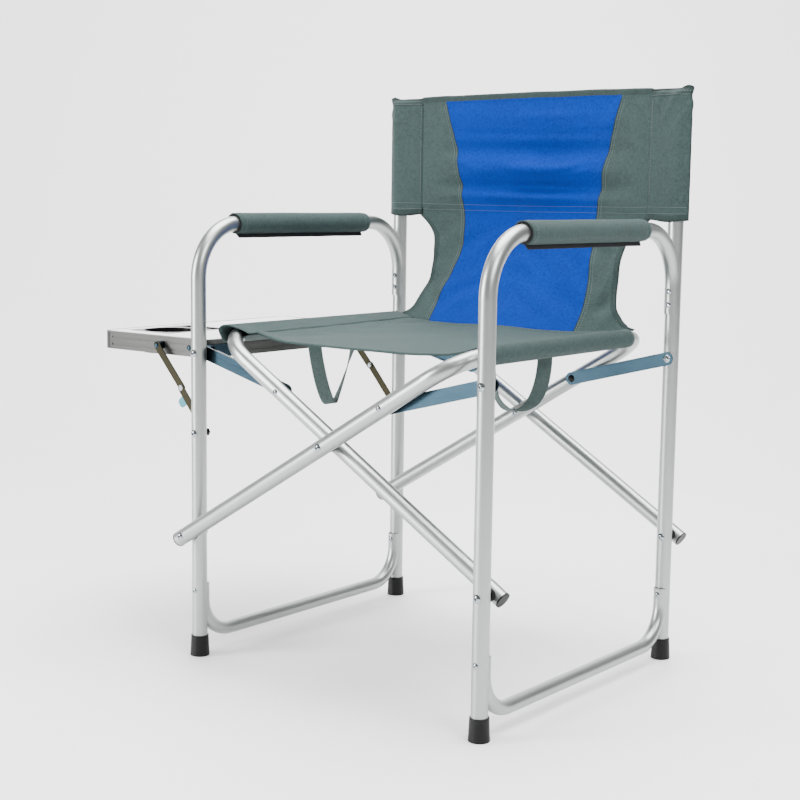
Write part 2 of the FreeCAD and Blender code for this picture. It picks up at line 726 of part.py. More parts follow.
def build_scissor(letter, side, sleeve_name):
    where = scissor_place(side)
    front = -where["y"]
    nodes = []
    tube = new_body("scissor_tube_" + letter, **where)
    path = [(-dim("tail"), ZERO),
            (dim("rail_along"), ZERO, dim("rail_bend")),
            (dim("rail_along"), DEPTH, dim("rail_bend")),
            (-dim("tail"), DEPTH)]
    tube_along(tube, path, "XY_Plane", "YZ_Plane", -dim("tail"), (ZERO, ZERO),
               dim("tube_r"), dim("tube_bore"))
    holes = [(ZERO, ZERO), (dim("cross_along"), ZERO)]
    drill(tube, "bolt_holes", holes, dim("bolt_hole"))
    drill(tube, "rivet_holes", [(dim("link_along"), ZERO)], dim("rivet_hole"))
    nodes.append(tube)

    plugs = []
    for end, y in (("front", ZERO), ("rear", DEPTH)):
        plug = new_body("plug_%s_%s" % (end, letter), **where)
        lid = new_sketch(plug, "YZ_Plane", "lid", -dim("tail") - 2)
        circle(lid, y, ZERO, dim("tube_r"))
        pad(plug, lid, 2)
        stem = new_sketch(plug, "YZ_Plane", "stem", -dim("tail"))
        circle(stem, y, ZERO, dim("tube_bore") - 0.05)
        pad(plug, stem, 6)
        plugs.append(plug)
    nodes.append(group("end_plugs_" + letter, plugs))

    nodes.append(ring_sleeve("seat_sleeve_" + sleeve_name, dim("seat_sleeve_r"),
                             dim("sleeve_in"), dim("rail_bend"), DEPTH - dim("rail_bend"),
                             (dim("rail_along"), ZERO), **where))

    x, z = scissor_point(side, dim("link_along"))
    wide = dim("tube_r") * 2
    nodes.append(group("link_rivets_" + letter, [
        rivet("link_rivet_front_" + letter, x, -front - dim("tube_r"), z, wide, high=False),
        rivet("link_rivet_rear_" + letter, x, DEPTH - front - dim("tube_r"), z, wide,
              low=False)]))
    return nodes


def build_cross_pivot():
    """The two bolts where the scissor frames cross, with their spacers."""
    x = dim("centre_x")
    run, height = scissor_point(-1, dim("cross_along"))
    reach = dim("tube_r") * 4 + dim("gap")
    bolts = [bolt("cross_bolt_front", x, -outer_face(), height, reach),
             bolt("cross_bolt_rear", x, inner_face(), height, reach)]
    gap_face = dim("plane_inner") + dim("tube_r")
    thin = 0.05
    spacers = []
    for end, y in (("front", -gap_face - dim("gap")), ("rear", gap_face)):
        spacers.append(bush("cross_spacer_" + end, x, y + thin, height, dim("gap") - 2 * thin,
                            dim("spacer_r"), dim("bolt_hole")))
    return [group("cross_bolts", bolts), group("cross_spacers", spacers)]


# ----------------------------------------------------------------------- seat links

def build_link(label, side, face, outward):
    """A pressed channel bar; its web lies on the leg, its flanges face away from it."""
    slope = dim("link_slope") if side < 0 else 180 - VALUES["link_slope"]
    x = dim("centre_x") + dim("leg_x") * side
    body = new_body(label, x=x, y=face, z=dim("link_height"), axis=(0, 1, 0), angle=slope)
    reverse = outward > 0
    web = new_sketch(body, "XZ_Plane", "web")
    slot_outline(web, dim("link_length"), dim("link_half"))
    pad(body, web, dim("link_web"), reverse)
    for name, edge in (("low", -1), ("high", 1)):
        flange = new_sketch(body, "XZ_Plane", name)
        rim = dim("link_half") * edge
        box_outline(flange, as_size(20), dim("link_length") - 20, rim, rim - 1.6 * edge)
        pad(body, flange, dim("link_deep"), reverse)
    groove = new_sketch(body, "XZ_Plane", "groove")
    box_outline(groove, as_size(18), dim("link_length") - 18, as_size(1), as_size(3))
    cut(body, groove, 0.9, reverse=not reverse)
    drill(body, "hole", [(ZERO, ZERO)], dim("bolt_hole"))
    return body


def build_links():
    nodes = []
    clear = 0.3
    inner_front = -inner_face() + clear
    inner_rear = dim("plane_outer") - dim("tube_r") - clear
    gap_front = -(dim("plane_outer") - dim("tube_r")) + clear
    near_rear = inner_face() - clear
    faces = {("left", "front"): (inner_front, 1), ("left", "rear"): (inner_rear, -1),
             ("right", "front"): (gap_front, 1), ("right", "rear"): (near_rear, -1)}
    for name, side in (("left", -1), ("right", 1)):
        caps = []
        for end in ("front", "rear"):
            face, outward = faces[(name, end)]
            nodes.append(build_link("link_%s_%s" % (name, end), side, face, outward))
            x, z = scissor_point(-side, dim("link_along"))
            caps.append(cap_on_face("link_cap_%s_%s" % (name, end), 5.5, 3, x,
                                    face + dim("link_web") * outward, z, outward > 0))
        nodes.append(group("link_caps_" + name, caps))
    return nodes


# ---------------------------------------------------------------------------- table

def build_table():
    centre = {"x": dim("centre_x")}
    out, inn = -dim("table_out"), -dim("table_in")
    front, back = -dim("table_front"), dim("table_back")
    wide, long = dim("rim_wide"), dim("corner_long")
    thick = dim("table_high") - dim("table_low")
    nodes = []

    rim = new_body("table_rim", **centre)
    bars = new_sketch(rim, "XY_Plane", "bars", dim("table_low"))
    box_outline(bars, out, inn, front, back)
    box_outline(bars, out + wide, inn - wide, front + wide, back - wide)
    pad(rim, bars, thick)
    ends = new_sketch(rim, "XY_Plane", "ends", dim("table_low"))
    for x, step_x in ((out, 1), (inn, -1)):
        for y, step_y in ((front, 1), (back, -1)):
            box_outline(ends, x - step_x * 1.0, x + long * step_x,
                        y - step_y * 1.0, y + long * step_y)
    cut(rim, ends)
    for name, lift, tall in (("low_groove", 6, 3), ("high_groove", 17, 2)):
        groove = new_sketch(rim, "XY_Plane", name, dim("table_low") + lift)
        box_outline(groove, out - 1, inn + 1, front - 1, back + 1)
        box_outline(groove, out + 1.2, inn - 1.2, front + 1.2, back - 1.2)
        cut(rim, groove, tall, reverse=True)
    nodes.append(rim)

    corners = []
    for number, (x, y) in enumerate(((out, front), (inn, front), (inn, back), (out, back))):
        corner = new_body("table_corner_%d" % (number + 1), x=dim("centre_x") + x, y=y,
                          z=dim("table_low"), axis=(0, 0, 1), angle=90 * number)
        outline = new_sketch(corner, "XY_Plane", "outline")
        trace(outline, [(ZERO, ZERO, dim("corner_r")), (long, ZERO), (long, wide), (wide, wide),
                        (wide, long), (ZERO, long)], closed=True)
        pad(corner, outline, thick)
        corners.append(corner)
    nodes.append(group("table_corners", corners))

    fit = 0.05
    board = new_body("table_board", **centre)
    face = new_sketch(board, "XY_Plane", "face", dim("table_high") - dim("board_thick"))
    box_outline(face, out + wide + fit, inn - wide - fit, front + wide + fit, back - wide - fit)
    pad(board, face, dim("board_thick"))
    opening = new_sketch(board, "XY_Plane", "opening")
    box_outline(opening, -dim("insert_left"), -dim("insert_right"),
                -dim("insert_front"), -dim("insert_back"))
    cut(board, opening)
    nodes.append(board)
    nodes.append(build_cup_holder(fit))
    nodes.append(build_brackets())
    return nodes


def build_cup_holder(fit):
    """Moulded insert with a round cup well and a narrow slot behind it."""
    holder = new_body("cup_holder", x=dim("centre_x"))
    top = dim("table_high")
    plate = new_sketch(holder, "XY_Plane", "plate", top - 11)
    box_outline(plate, -dim("insert_left") + fit, -dim("insert_right") - fit,
                -dim("insert_front") + fit, -dim("insert_back") - fit)
    pad(holder, plate, 11)
    outer = new_sketch(holder, "XY_Plane", "outer", dim("cup_low"))
    circle(outer, -dim("cup_x"), -dim("cup_y"), dim("cup_r") + dim("cup_wall"))
    pad(holder, outer, top - dim("cup_low") - 1)
    well = new_sketch(holder, "XY_Plane", "well", top)
    circle(well, -dim("cup_x"), -dim("cup_y"), dim("cup_r"))
    cut(holder, well, top - dim("cup_low") - dim("cup_wall"))
    slot = new_sketch(holder, "XY_Plane", "slot", top)
    box_outline(slot, -dim("insert_left") + 10, -dim("insert_right") - 10,
                -dim("insert_back") - 29, -dim("insert_back") - 9)
    cut(holder, slot, 9)
    return holder


def build_brackets():
    """Angle brackets that hang the table on the link bolts, with the stays' studs."""
    pieces = []
    plate = 2
    hinge = -dim("leg_x")
    rivet_x = hinge - 46
    ends = (("front", -dim("table_front"), -1), ("rear", dim("table_back"), 1))
    for end, y, step in ends:
        body = new_body("bracket_" + end, x=dim("centre_x"))
        shape = new_sketch(body, "XY_Plane", "shape", dim("link_height") - 9)
        trace(shape, [(-dim("table_in"), y + plate * step), (hinge + 9, y + plate * step),
                      (hinge + 9, y), (-dim("table_in") + plate, y),
                      (-dim("table_in") + plate, y - 60 * step),
                      (-dim("table_in"), y - 60 * step)], closed=True)
        pad(body, shape, 18)
        hole = new_sketch(body, "XZ_Plane", "holes", -y)
        circle(hole, hinge, dim("link_height"), dim("bolt_hole"))
        cut(body, hole, plate + 1, reverse=step < 0)
        pieces.append(body)
        pieces.append(cap_on_face("rim_rivet_" + end, dim("rivet_head_r"),
                                  dim("rivet_head"), dim("centre_x") + rivet_x, y,
                                  dim("link_height") + 2, step > 0))
        pieces.extend(build_stud(end, y, step))
    return group("table_brackets", pieces)


def build_stud(end, y, step):
    """Shouldered stud on the table edge that carries the upper strap of a stay."""
    x = dim("centre_x") - dim("table_pivot_x")
    z = dim("table_pivot_z")
    strap_far = strap_faces(end)[1]
    strap_near = strap_far - dim("strap_thick") * step
    turn = 90 if step < 0 else -90
    shoulder = solid("Cylinder", "stud_shoulder_" + end, Radius=6,
                     Height=(strap_near - y) * step - 0.3)
    place(shoulder, x=x, y=y, z=z, axis=(1, 0, 0), angle=turn)
    shank = solid("Cylinder", "stud_shank_" + end, Radius=dim("bolt_r"),
                  Height=(strap_far - y) * step + 0.3)
    place(shank, x=x, y=y, z=z, axis=(1, 0, 0), angle=turn)
    head = cap_on_face("stud_head_" + end, dim("rivet_head_r"), dim("rivet_head"), x,
                       strap_far + 0.3 * step, z, step > 0)
    stud = doc.addObject("Part::MultiFuse", "table_stud_" + end)
    stud.Shapes = [shoulder, shank, head]
    return [stud]


# ---------------------------------------------------------------------------- stays

def strap_faces(end):
    """Faces nearest the leg of the lower and the upper strap of one stay."""
    clear = 0.3
    if end == "front":
        lower = -inner_face() + 0.5
        upper = lower + dim("strap_thick") + clear
    else:
        lower = dim("plane_outer") - dim("tube_r") - 0.5
        upper = lower - dim("strap_thick") - clear
    return lower, upper


def build_strap(label, x, y, z, turn, length, toward_back, rivet_name):
    body = new_body(label, x=x, y=y, z=z, axis=(0, 1, 0), angle=turn)
    outline = new_sketch(body, "XZ_Plane", "outline")
    slot_outline(outline, length, dim("strap_half"))
    pad(body, outline, dim("strap_thick"), reverse=toward_back)
    drill(body, "hole", [(ZERO, ZERO)], dim("bolt_hole"))
    return body


def build_thumb_tab():
    """Flat ear on the front lower strap, pushed by the thumb to break the knee."""
    lower = strap_faces("front")[0]
    body = new_body("thumb_tab", x=dim("centre_x") - dim("leg_x"), y=lower,
                    z=dim("stay_height"), axis=(0, 1, 0), angle=-dim("lower_slope"))
    outline = new_sketch(body, "XZ_Plane", "outline")
    middle = dim("lower_length") - 18
    edge = dim("strap_half") + 0.05
    trace(outline, [(middle - 7, edge), (middle + 7, edge), (middle + 7, edge + 12, 5),
                    (middle - 7, edge + 12, 5)], closed=True)
    pad(body, outline, dim("strap_thick"), reverse=True)
    return body


def build_stays():
    """Two folding stays; each strap keeps its own half of the knee rivet."""
    nodes = []
    centre = dim("centre_x")
    slope_up = math.radians(VALUES["upper_slope"])
    knee_x = Size(math.cos(slope_up), "cos(Dimensions.upper_slope * 1deg)")
    knee_z = Size(math.sin(slope_up), "sin(Dimensions.upper_slope * 1deg)")
    knee = (centre - dim("table_pivot_x") + dim("upper_length") * knee_x,
            dim("table_pivot_z") - dim("upper_length") * knee_z)
    low_caps = []
    high_caps = []
    for end, step in (("front", 1), ("rear", -1)):
        lower, upper = strap_faces(end)
        back = step > 0
        nodes.append(build_strap("stay_upper_" + end, centre - dim("table_pivot_x"), upper,
                                 dim("table_pivot_z"), dim("upper_slope"),
                                 dim("upper_length"), back, "upper"))
        nodes.append(build_strap("stay_lower_" + end, centre - dim("leg_x"), lower,
                                 dim("stay_height"), -dim("lower_slope"),
                                 dim("lower_length"), back, "lower"))
        disc = solid("Cylinder", "knee_low_" + end, Radius=dim("rivet_head_r"),
                     Height=dim("flat_head"))
        low_caps.append(place(disc, x=knee[0], y=lower, z=knee[1], axis=(1, 0, 0),
                              angle=90 if back else -90))
        high_caps.append(cap_on_face("knee_high_" + end, dim("rivet_head_r"),
                                     dim("rivet_head"), knee[0],
                                     upper + dim("strap_thick") * step, knee[1], back))
    nodes.append(build_thumb_tab())
    nodes.append(group("knee_caps_lower", low_caps))
    nodes.append(group("knee_caps_upper", high_caps))
    return nodes


# --------------------------------------------------------------------- cloth stand-ins

def build_webbing(label, side, front, back, low):
    """A carrying loop of webbing that hangs beside one seat rail."""
    x, z = scissor_point(-side, dim("rail_along"))
    far = dim("loop_off") + dim("loop_thick")
    start = x - far if side > 0 else x + dim("loop_off")
    body = new_body(label, x=start, z=z)
    outline = new_sketch(body, "YZ_Plane", "outline")
    half = dim("loop_wide") * 0.5
    wide = dim("loop_wide")
    bend = dim("loop_bend")
    drop = as_size(low) - z
    corners = [(front - half, ZERO), (front - half, drop, bend + wide),
               (back + half, drop, bend + wide), (back + half, ZERO),
               (back - half, ZERO), (back - half, drop + wide, bend),
               (front + half, drop + wide, bend), (front + half, ZERO)]
    trace(outline, corners, closed=True)
    pad(body, outline, dim("loop_thick"))
    return body


def build_panels():
    seat = new_body("seat_panel", x=dim("centre_x"))
    face = new_sketch(seat, "XY_Plane", "face", dim("seat_low"))
    box_outline(face, -dim("seat_half"), dim("seat_half"), -dim("seat_front"), dim("seat_back"))
    pad(seat, face, dim("seat_high") - dim("seat_low"))

    middle = (dim("plane_outer") + dim("plane_inner")) * 0.5
    back = new_body("back_panel", x=dim("centre_x"), y=middle, z=dim("back_low"),
                    axis=(0, 0, 1), angle=-dim("back_turn"))
    outline = new_sketch(back, "XY_Plane", "outline")
    half = dim("panel_thick") * 0.5
    box_outline(outline, -dim("back_half"), dim("back_half"), -half, half)
    pad(back, outline, dim("back_top") - dim("back_low"))
    return [seat, back]


# ------------------------------------------------------------------------- assembly

NODES = []
for frame_name, frame_side in (("left", -1), ("right", 1)):
    NODES.extend(build_side_frame(frame_name, frame_side))
NODES.extend(build_scissor("a", -1, "right"))
NODES.extend(build_scissor("b", 1, "left"))
NODES.extend(build_cross_pivot())
NODES.extend(build_links())
NODES.extend(build_table())
NODES.extend(build_stays())
NODES.append(build_webbing("strap_loop_left", -1, as_size(-40), as_size(60), 352))
NODES.append(build_webbing("strap_loop_right", 1, as_size(-140), as_size(-20), 390))
NODES.extend(build_panels())

doc.recompute()
for item in doc.Objects:
    if "Invalid" in item.State or "Error" in item.State:
        raise RuntimeError("object does not build: " + item.Name)

os.makedirs("parts", exist_ok=True)
for node in NODES:
    shape = node.Shape
    if shape.isNull() or not shape.isValid():
        raise RuntimeError("bad shape: " + node.Label)
    shape.exportStep("parts/%s.step" % node.Label)
    box = shape.BoundBox
    print("%-22s %9.1f  x %.2f..%.2f  y %.2f..%.2f  z %.2f..%.2f" % (
        node.Label, shape.Volume, box.XMin, box.XMax, box.YMin, box.YMax, box.ZMin, box.ZMax))
print(len(NODES), "parts written")
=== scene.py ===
import json
import math

import bmesh
import bpy
import numpy as np
from mathutils import Matrix, Vector, noise


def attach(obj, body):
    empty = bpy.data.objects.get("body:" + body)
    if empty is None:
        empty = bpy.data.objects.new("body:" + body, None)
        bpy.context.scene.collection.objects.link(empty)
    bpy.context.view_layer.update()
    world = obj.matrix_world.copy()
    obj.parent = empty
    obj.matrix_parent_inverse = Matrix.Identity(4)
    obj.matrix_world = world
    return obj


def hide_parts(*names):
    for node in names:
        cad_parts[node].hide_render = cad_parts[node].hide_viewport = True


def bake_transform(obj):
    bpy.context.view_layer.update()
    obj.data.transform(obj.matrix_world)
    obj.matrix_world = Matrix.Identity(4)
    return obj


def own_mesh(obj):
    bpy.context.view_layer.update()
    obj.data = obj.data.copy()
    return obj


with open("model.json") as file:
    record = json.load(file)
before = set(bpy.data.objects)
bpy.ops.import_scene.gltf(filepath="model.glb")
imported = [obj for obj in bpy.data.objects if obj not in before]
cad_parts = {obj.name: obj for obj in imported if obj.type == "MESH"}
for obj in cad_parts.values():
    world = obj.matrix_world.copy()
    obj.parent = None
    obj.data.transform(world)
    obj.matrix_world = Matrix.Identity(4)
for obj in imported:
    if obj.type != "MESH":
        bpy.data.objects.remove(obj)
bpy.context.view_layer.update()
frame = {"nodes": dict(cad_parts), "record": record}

# Lengths are in the chair's own millimetres: x from its centre line to the viewer's right, y from
# front to back, z up from the floor.  The centre line stands off the frame's origin, by this many
# metres, because the table is on one side.
CENTRE_X = 0.110235
MM = 0.001
SIDES = (("left", -1), ("right", 1))
POST = {"left": (-260.0, 243.0), "right": (260.0, 215.0)}
RAIL_X, RAIL_Z = 219.38, 471.47
TINY = 1e-9


def place(x, y, z):
    """Chair millimetres to the frame's metres."""
    return Vector((x * MM + CENTRE_X, y * MM, z * MM))


def smooth(a, b, t):
    """Eased step from 0 at a to 1 at b; a may be above b."""
    t = min(max((t - a) / (b - a), 0.0), 1.0)
    return t * t * (3 - 2 * t)


def fold(x, y, z, size, seed):
    """Smooth noise from -1 to 1 over a length given in millimetres."""
    return noise.noise(Vector((x / size + seed * 7.3, y / size, z / size)))


def hump(x, half):
    """A parabola that is 1 on the centre line and 0 from a half width outwards."""
    return max(1 - (x / half) ** 2, 0)


def unit(vector):
    """The same direction at length 1."""
    return vector / max(np.linalg.norm(vector), TINY)


def add_object(name, data):
    """New object in the scene for a mesh, light or camera."""
    obj = bpy.data.objects.new(name, data)
    bpy.context.scene.collection.objects.link(obj)
    return obj


# ------------------------------------------------------------------ materials

class Shader:
    """A small builder for one procedural material."""

    def __init__(self, name, colour, rough, metal=0.0):
        self.mat = bpy.data.materials.new(name)
        self.mat.use_nodes = True
        self.tree = self.mat.node_tree
        self.bsdf = self.tree.nodes["Principled BSDF"]
        self.bsdf.inputs["Base Color"].default_value = (*colour, 1)
        self.bsdf.inputs["Roughness"].default_value = rough
        self.bsdf.inputs["Metallic"].default_value = metal
        self.mat.diffuse_color = (*colour, 1)
        self.colour = colour
        self.height = None

    def node(self, kind, **inputs):
        item = self.tree.nodes.new("ShaderNode" + kind)
        for key, value in inputs.items():
            item.inputs[key.replace("_", " ")].default_value = value
        return item

    def link(self, source, target):
        self.tree.links.new(source, target)

    def coords(self, scale=(1, 1, 1)):
        source = self.node("TexCoord")
        mapping = self.node("Mapping")
        mapping.inputs["Scale"].default_value = scale
        self.link(source.outputs["Object"], mapping.inputs["Vector"])
        return mapping.outputs["Vector"]

    def noise(self, vector, scale, detail=3.0, rough=0.5):
        item = self.node("TexNoise", Scale=scale, Detail=detail, Roughness=rough)
        self.link(vector, item.inputs["Vector"])
        return item.outputs["Fac"]

    def span(self, value, low, high):
        item = self.node("MapRange")
        item.inputs["To Min"].default_value = low
        item.inputs["To Max"].default_value = high
        self.link(value, item.inputs["Value"])
        return item.outputs["Result"]

    def math(self, kind, a, b=None):
        item = self.node("Math")
        item.operation = kind
        for socket, value in zip(item.inputs, (a, b)):
            if value is None:
                continue
            if isinstance(value, (int, float)):
                socket.default_value = value
            else:
                self.link(value, socket)
        return item.outputs["Value"]

    def shade(self, factor, dark, light):
        """Base colour runs between two multiples of the material's colour."""
        ramp = self.node("ValToRGB")
        ends = ramp.color_ramp.elements
        ends[0].color = (*[c * dark for c in self.colour], 1)
        ends[1].color = (*[min(c * light, 1) for c in self.colour], 1)
        self.link(factor, ramp.inputs["Fac"])
        self.link(ramp.outputs["Color"], self.bsdf.inputs["Base Color"])

    def roughness(self, factor, low, high):
        self.link(self.span(factor, low, high), self.bsdf.inputs["Roughness"])

    def bump(self, factor, strength, distance):
        item = self.node("Bump", Strength=strength, Distance=distance)
        self.link(factor, item.inputs["Height"])
        if self.height is not None:
            self.link(self.height, item.inputs["Normal"])
        self.height = item.outputs["Normal"]
        self.link(self.height, self.bsdf.inputs["Normal"])


def woven(name, colour, thread=1.1, contrast=0.22, sheen=0.03, rough=0.84, coarse=1.0):
    """Plain-woven polyester: threads over and under in the cloth's own metres."""
    s = Shader(name, colour, rough)
    uv = s.node("UVMap")
    uv.uv_map = "cloth"
    split = s.node("SeparateXYZ")
    s.link(uv.outputs["UV"], split.inputs["Vector"])
    turns = 2 * math.pi / (thread * MM)
    across = s.math("SINE", s.math("MULTIPLY", split.outputs["X"], turns))
    along = s.math("SINE", s.math("MULTIPLY", split.outputs["Y"], turns))
    weave = s.span(s.math("MULTIPLY", across, along), 0.5 - contrast, 0.5 + contrast)
    weave.node.inputs["From Min"].default_value = -1
    here = s.coords()
    slub = s.noise(here, 620, 2, 0.7)
    heather = s.noise(here, 240, 3, 0.85)
    cloudy = s.noise(here, 14, 3)
    threads = s.math("ADD", s.math("MULTIPLY", weave, 0.45), s.math("MULTIPLY", slub, 0.45))
    tone = s.math("ADD", threads,
                  s.math("ADD", s.math("MULTIPLY", heather, 0.7), s.math("MULTIPLY", cloudy, 0.15)))
    s.shade(s.span(tone, -1.0, 1.1), 0.38, 1.45)
    s.roughness(cloudy, rough - 0.08, rough + 0.08)
    s.bump(weave, 0.35, 0.0004 * coarse)
    s.bump(heather, 0.18, 0.0005)
    s.bsdf.inputs["Specular IOR Level"].default_value = 0.12
    s.bsdf.inputs["Sheen Weight"].default_value = sheen
    s.bsdf.inputs["Sheen Roughness"].default_value = 0.45
    return s.mat


def satin_metal(name, colour, rough=0.3, grain=(9, 9, 1.2), streak=0.05, tone_spread=0.1):
    """Drawn or rolled metal with fine lines and faint handling marks.  A wide tone_spread paints
    light and dark streaks into the colour, as painted reflections.
    """
    s = Shader(name, colour, rough, 1.0)
    lines = s.noise(s.coords(scale=grain), 40, 5, 0.65)
    marks = s.noise(s.coords(), 9, 4)
    s.shade(s.math("ADD", s.math("MULTIPLY", lines, 0.4), s.math("MULTIPLY", marks, 0.6)),
            1 - tone_spread, 1 + tone_spread)
    s.roughness(lines, rough - streak, rough + streak)
    s.bump(lines, 0.03, 0.00004)
    s.bump(marks, 0.03, 0.0005)
    return s.mat


def moulded(name, colour, rough=0.45, grain=500, depth=0.0002, tone_spread=0.25):
    """Moulded plastic with a fine spark texture and rubbed patches."""
    s = Shader(name, colour, rough)
    fine = s.noise(s.coords(), grain, 2)
    patches = s.noise(s.coords(), 22, 4)
    s.shade(s.math("ADD", s.math("MULTIPLY", fine, 0.3), s.math("MULTIPLY", patches, 0.7)),
            1 - tone_spread, 1 + tone_spread)
    s.roughness(patches, rough - 0.08, rough + 0.1)
    s.bump(fine, 0.25, depth)
    s.bsdf.inputs["Specular IOR Level"].default_value = 0.22
    return s.mat


def laminate(name, colour):
    """Smooth white board with a thin clear coat."""
    s = Shader(name, colour, 0.28)
    speck = s.noise(s.coords(), 700, 2)
    wide = s.noise(s.coords(), 6, 3)
    s.shade(wide, 0.95, 1.03)
    s.roughness(speck, 0.22, 0.36)
    s.bump(speck, 0.05, 0.0001)
    s.bsdf.inputs["Coat Weight"].default_value = 0.25
    return s.mat


# base colours are darker than the colours seen, because the picture's view transform lightens them
GREY = (0.0265, 0.042, 0.040)
BLUE = (0.0, 0.0185, 0.165)
MAT = {
    "satin_tube": satin_metal("satin_tube", (0.35, 0.37, 0.36), 0.36, (1.6, 1.6, 0.3), tone_spread=0.06),
    "black_plastic": moulded("black_plastic", (0.0018, 0.0018, 0.002), 0.46),
    "rivet_steel": satin_metal("rivet_steel", (0.33, 0.36, 0.38), 0.1, (5, 5, 5)),
    # zinc_steel: bluish zinc with a near-black base, which is painted shade for the links' dark
    # reflections, and a tone spread of 0.7 that paints their light and dark lengthwise reflections in
    # as streaks
    "zinc_steel": satin_metal("zinc_steel", (0.020, 0.038, 0.052), 0.24, (0.5, 12, 12), 0.08, 0.7),
    "strap_steel": satin_metal("strap_steel", (0.022, 0.020, 0.012), 0.36, (2, 2, 8), 0.08, 0.4),
    "blue_plastic": moulded("blue_plastic", (0.05, 0.24, 0.29), 0.4, 300),
    "rim_aluminium": satin_metal("rim_aluminium", (0.075, 0.077, 0.073), 0.38, (0.6, 0.6, 14),
                                 tone_spread=0.25),
    "white_board": laminate("white_board", (0.82, 0.82, 0.83)),
    "holder_plastic": moulded("holder_plastic", (0.004, 0.004, 0.0045), 0.25, 350),
    "grey_cloth": woven("grey_cloth", GREY),
    "grey_binding": woven("grey_binding", tuple(c * 0.72 for c in GREY), thread=1.6),
    "dark_piping": woven("dark_piping", tuple(c * 0.42 for c in GREY), thread=1.4),
    "blue_cloth": woven("blue_cloth", BLUE, sheen=0.0, contrast=0.15),
    "black_lining": woven("black_lining", (0.008, 0.009, 0.010), rough=0.85),
    "webbing": woven("webbing", (0.045, 0.064, 0.061), thread=2.4, contrast=0.4, coarse=2.0),
    "foam": moulded("foam", (0.012, 0.012, 0.013), 0.9, 260, 0.0012),
    "thread": moulded("thread", (0.11, 0.13, 0.125), 0.7, 900),
}

# the CAD nodes that stay visible take the material of their slot
slots = {row["node"]: row["material_slot"] for row in frame["record"]["subparts"]}
for node_name, node in frame["nodes"].items():
    finish = MAT.get(slots.get(node_name))
    if finish is None:
        continue
    for material_slot in node.material_slots:
        material_slot.link = "OBJECT"
        material_slot.material = finish


# ------------------------------------------------------------------ cloth shells

def normals_of(grid):
    """Unit normals of a grid of points, rows by columns."""
    du = np.gradient(grid, axis=1)
    dv = np.gradient(grid, axis=0)
    n = np.cross(du, dv)
    length = np.linalg.norm(n, axis=2, keepdims=True)
    return n / np.maximum(length, TINY)


def cloth_lengths(grid):
    """Distances along the rows and down the columns, for the weave."""
    step_u = np.linalg.norm(np.diff(grid, axis=1), axis=2).mean(axis=0)
    step_v = np.linalg.norm(np.diff(grid, axis=0), axis=2).mean(axis=1)
    return np.concatenate([[0], np.cumsum(step_u)]), np.concatenate([[0], np.cumsum(step_v)])


def finish_mesh(bm, name, labels):
    """Object from a bmesh, with the named materials."""
    mesh = bpy.data.meshes.new(name)
    bm.to_mesh(mesh)
    bm.free()
    for label in labels:
        mesh.materials.append(MAT[label])
    return add_object(name, mesh)


def skin(bm, rings):
    """Faces over a row of rings of vertices, closed at both ends."""
    for a, b in zip(rings, rings[1:]):
        for k in range(len(a)):
            after = (k + 1) % len(a)
            made = bm.faces.new((a[k], a[after], b[after], b[k]))
            made.smooth = True
    bm.faces.new(rings[0][::-1])
    bm.faces.new(rings[-1])


def shell(name, grid, thick, paint, around=False):
    """A closed sheet of cloth from a grid in millimetres.

    thick is one number or an array.  paint(row, column) gives a material's name.  A grid that
    goes around joins its last column to its first.
    """
    rows, cols, _ = grid.shape
    n = normals_of(grid)
    thick = np.broadcast_to(np.asarray(thick, float), (rows, cols))[..., None]
    faces_up = grid + n * thick / 2
    faces_down = grid - n * thick / 2
    u, v = cloth_lengths(grid)
    names = []
    bm = bmesh.new()
    uv = bm.loops.layers.uv.new("cloth")
    top = [[bm.verts.new(place(*faces_up[r, c])) for c in range(cols)] for r in range(rows)]
    low = [[bm.verts.new(place(*faces_down[r, c])) for c in range(cols)] for r in range(rows)]

    def face(points, label):
        made = bm.faces.new([p[0] for p in points])
        if label not in names:
            names.append(label)
        made.material_index = names.index(label)
        made.smooth = True
        for loop, p in zip(made.loops, points):
            loop[uv].uv = (p[1] * MM, p[2] * MM)

    def corner(side, r, c, lift=0.0):
        return (side[r][c % cols], u[c % cols] + lift, v[r])

    last = cols if around else cols - 1
    for r in range(rows - 1):
        for c in range(last):
            label = paint(r, c)
            face([corner(top, r, c), corner(top, r, c + 1), corner(top, r + 1, c + 1),
                  corner(top, r + 1, c)], label)
            face([corner(low, r + 1, c), corner(low, r + 1, c + 1), corner(low, r, c + 1),
                  corner(low, r, c)], label)
    for r, order in ((0, 1), (rows - 1, -1)):
        for c in range(last):
            ring = [corner(top, r, c + 1), corner(top, r, c), corner(low, r, c, 1),
                    corner(low, r, c + 1, 1)][::order]
            face(ring, paint(min(r, rows - 2), c))
    if not around:
        for c, order in ((0, -1), (cols - 1, 1)):
            for r in range(rows - 1):
                ring = [corner(top, r + 1, c), corner(top, r, c), corner(low, r, c, 1),
                        corner(low, r + 1, c, 1)][::order]
                face(ring, paint(r, min(c, cols - 2)))
    bmesh.ops.recalc_face_normals(bm, faces=bm.faces)
    return finish_mesh(bm, name, names)


SETTLING_FRAMES = 22
MOST_SETTLING = 2.2


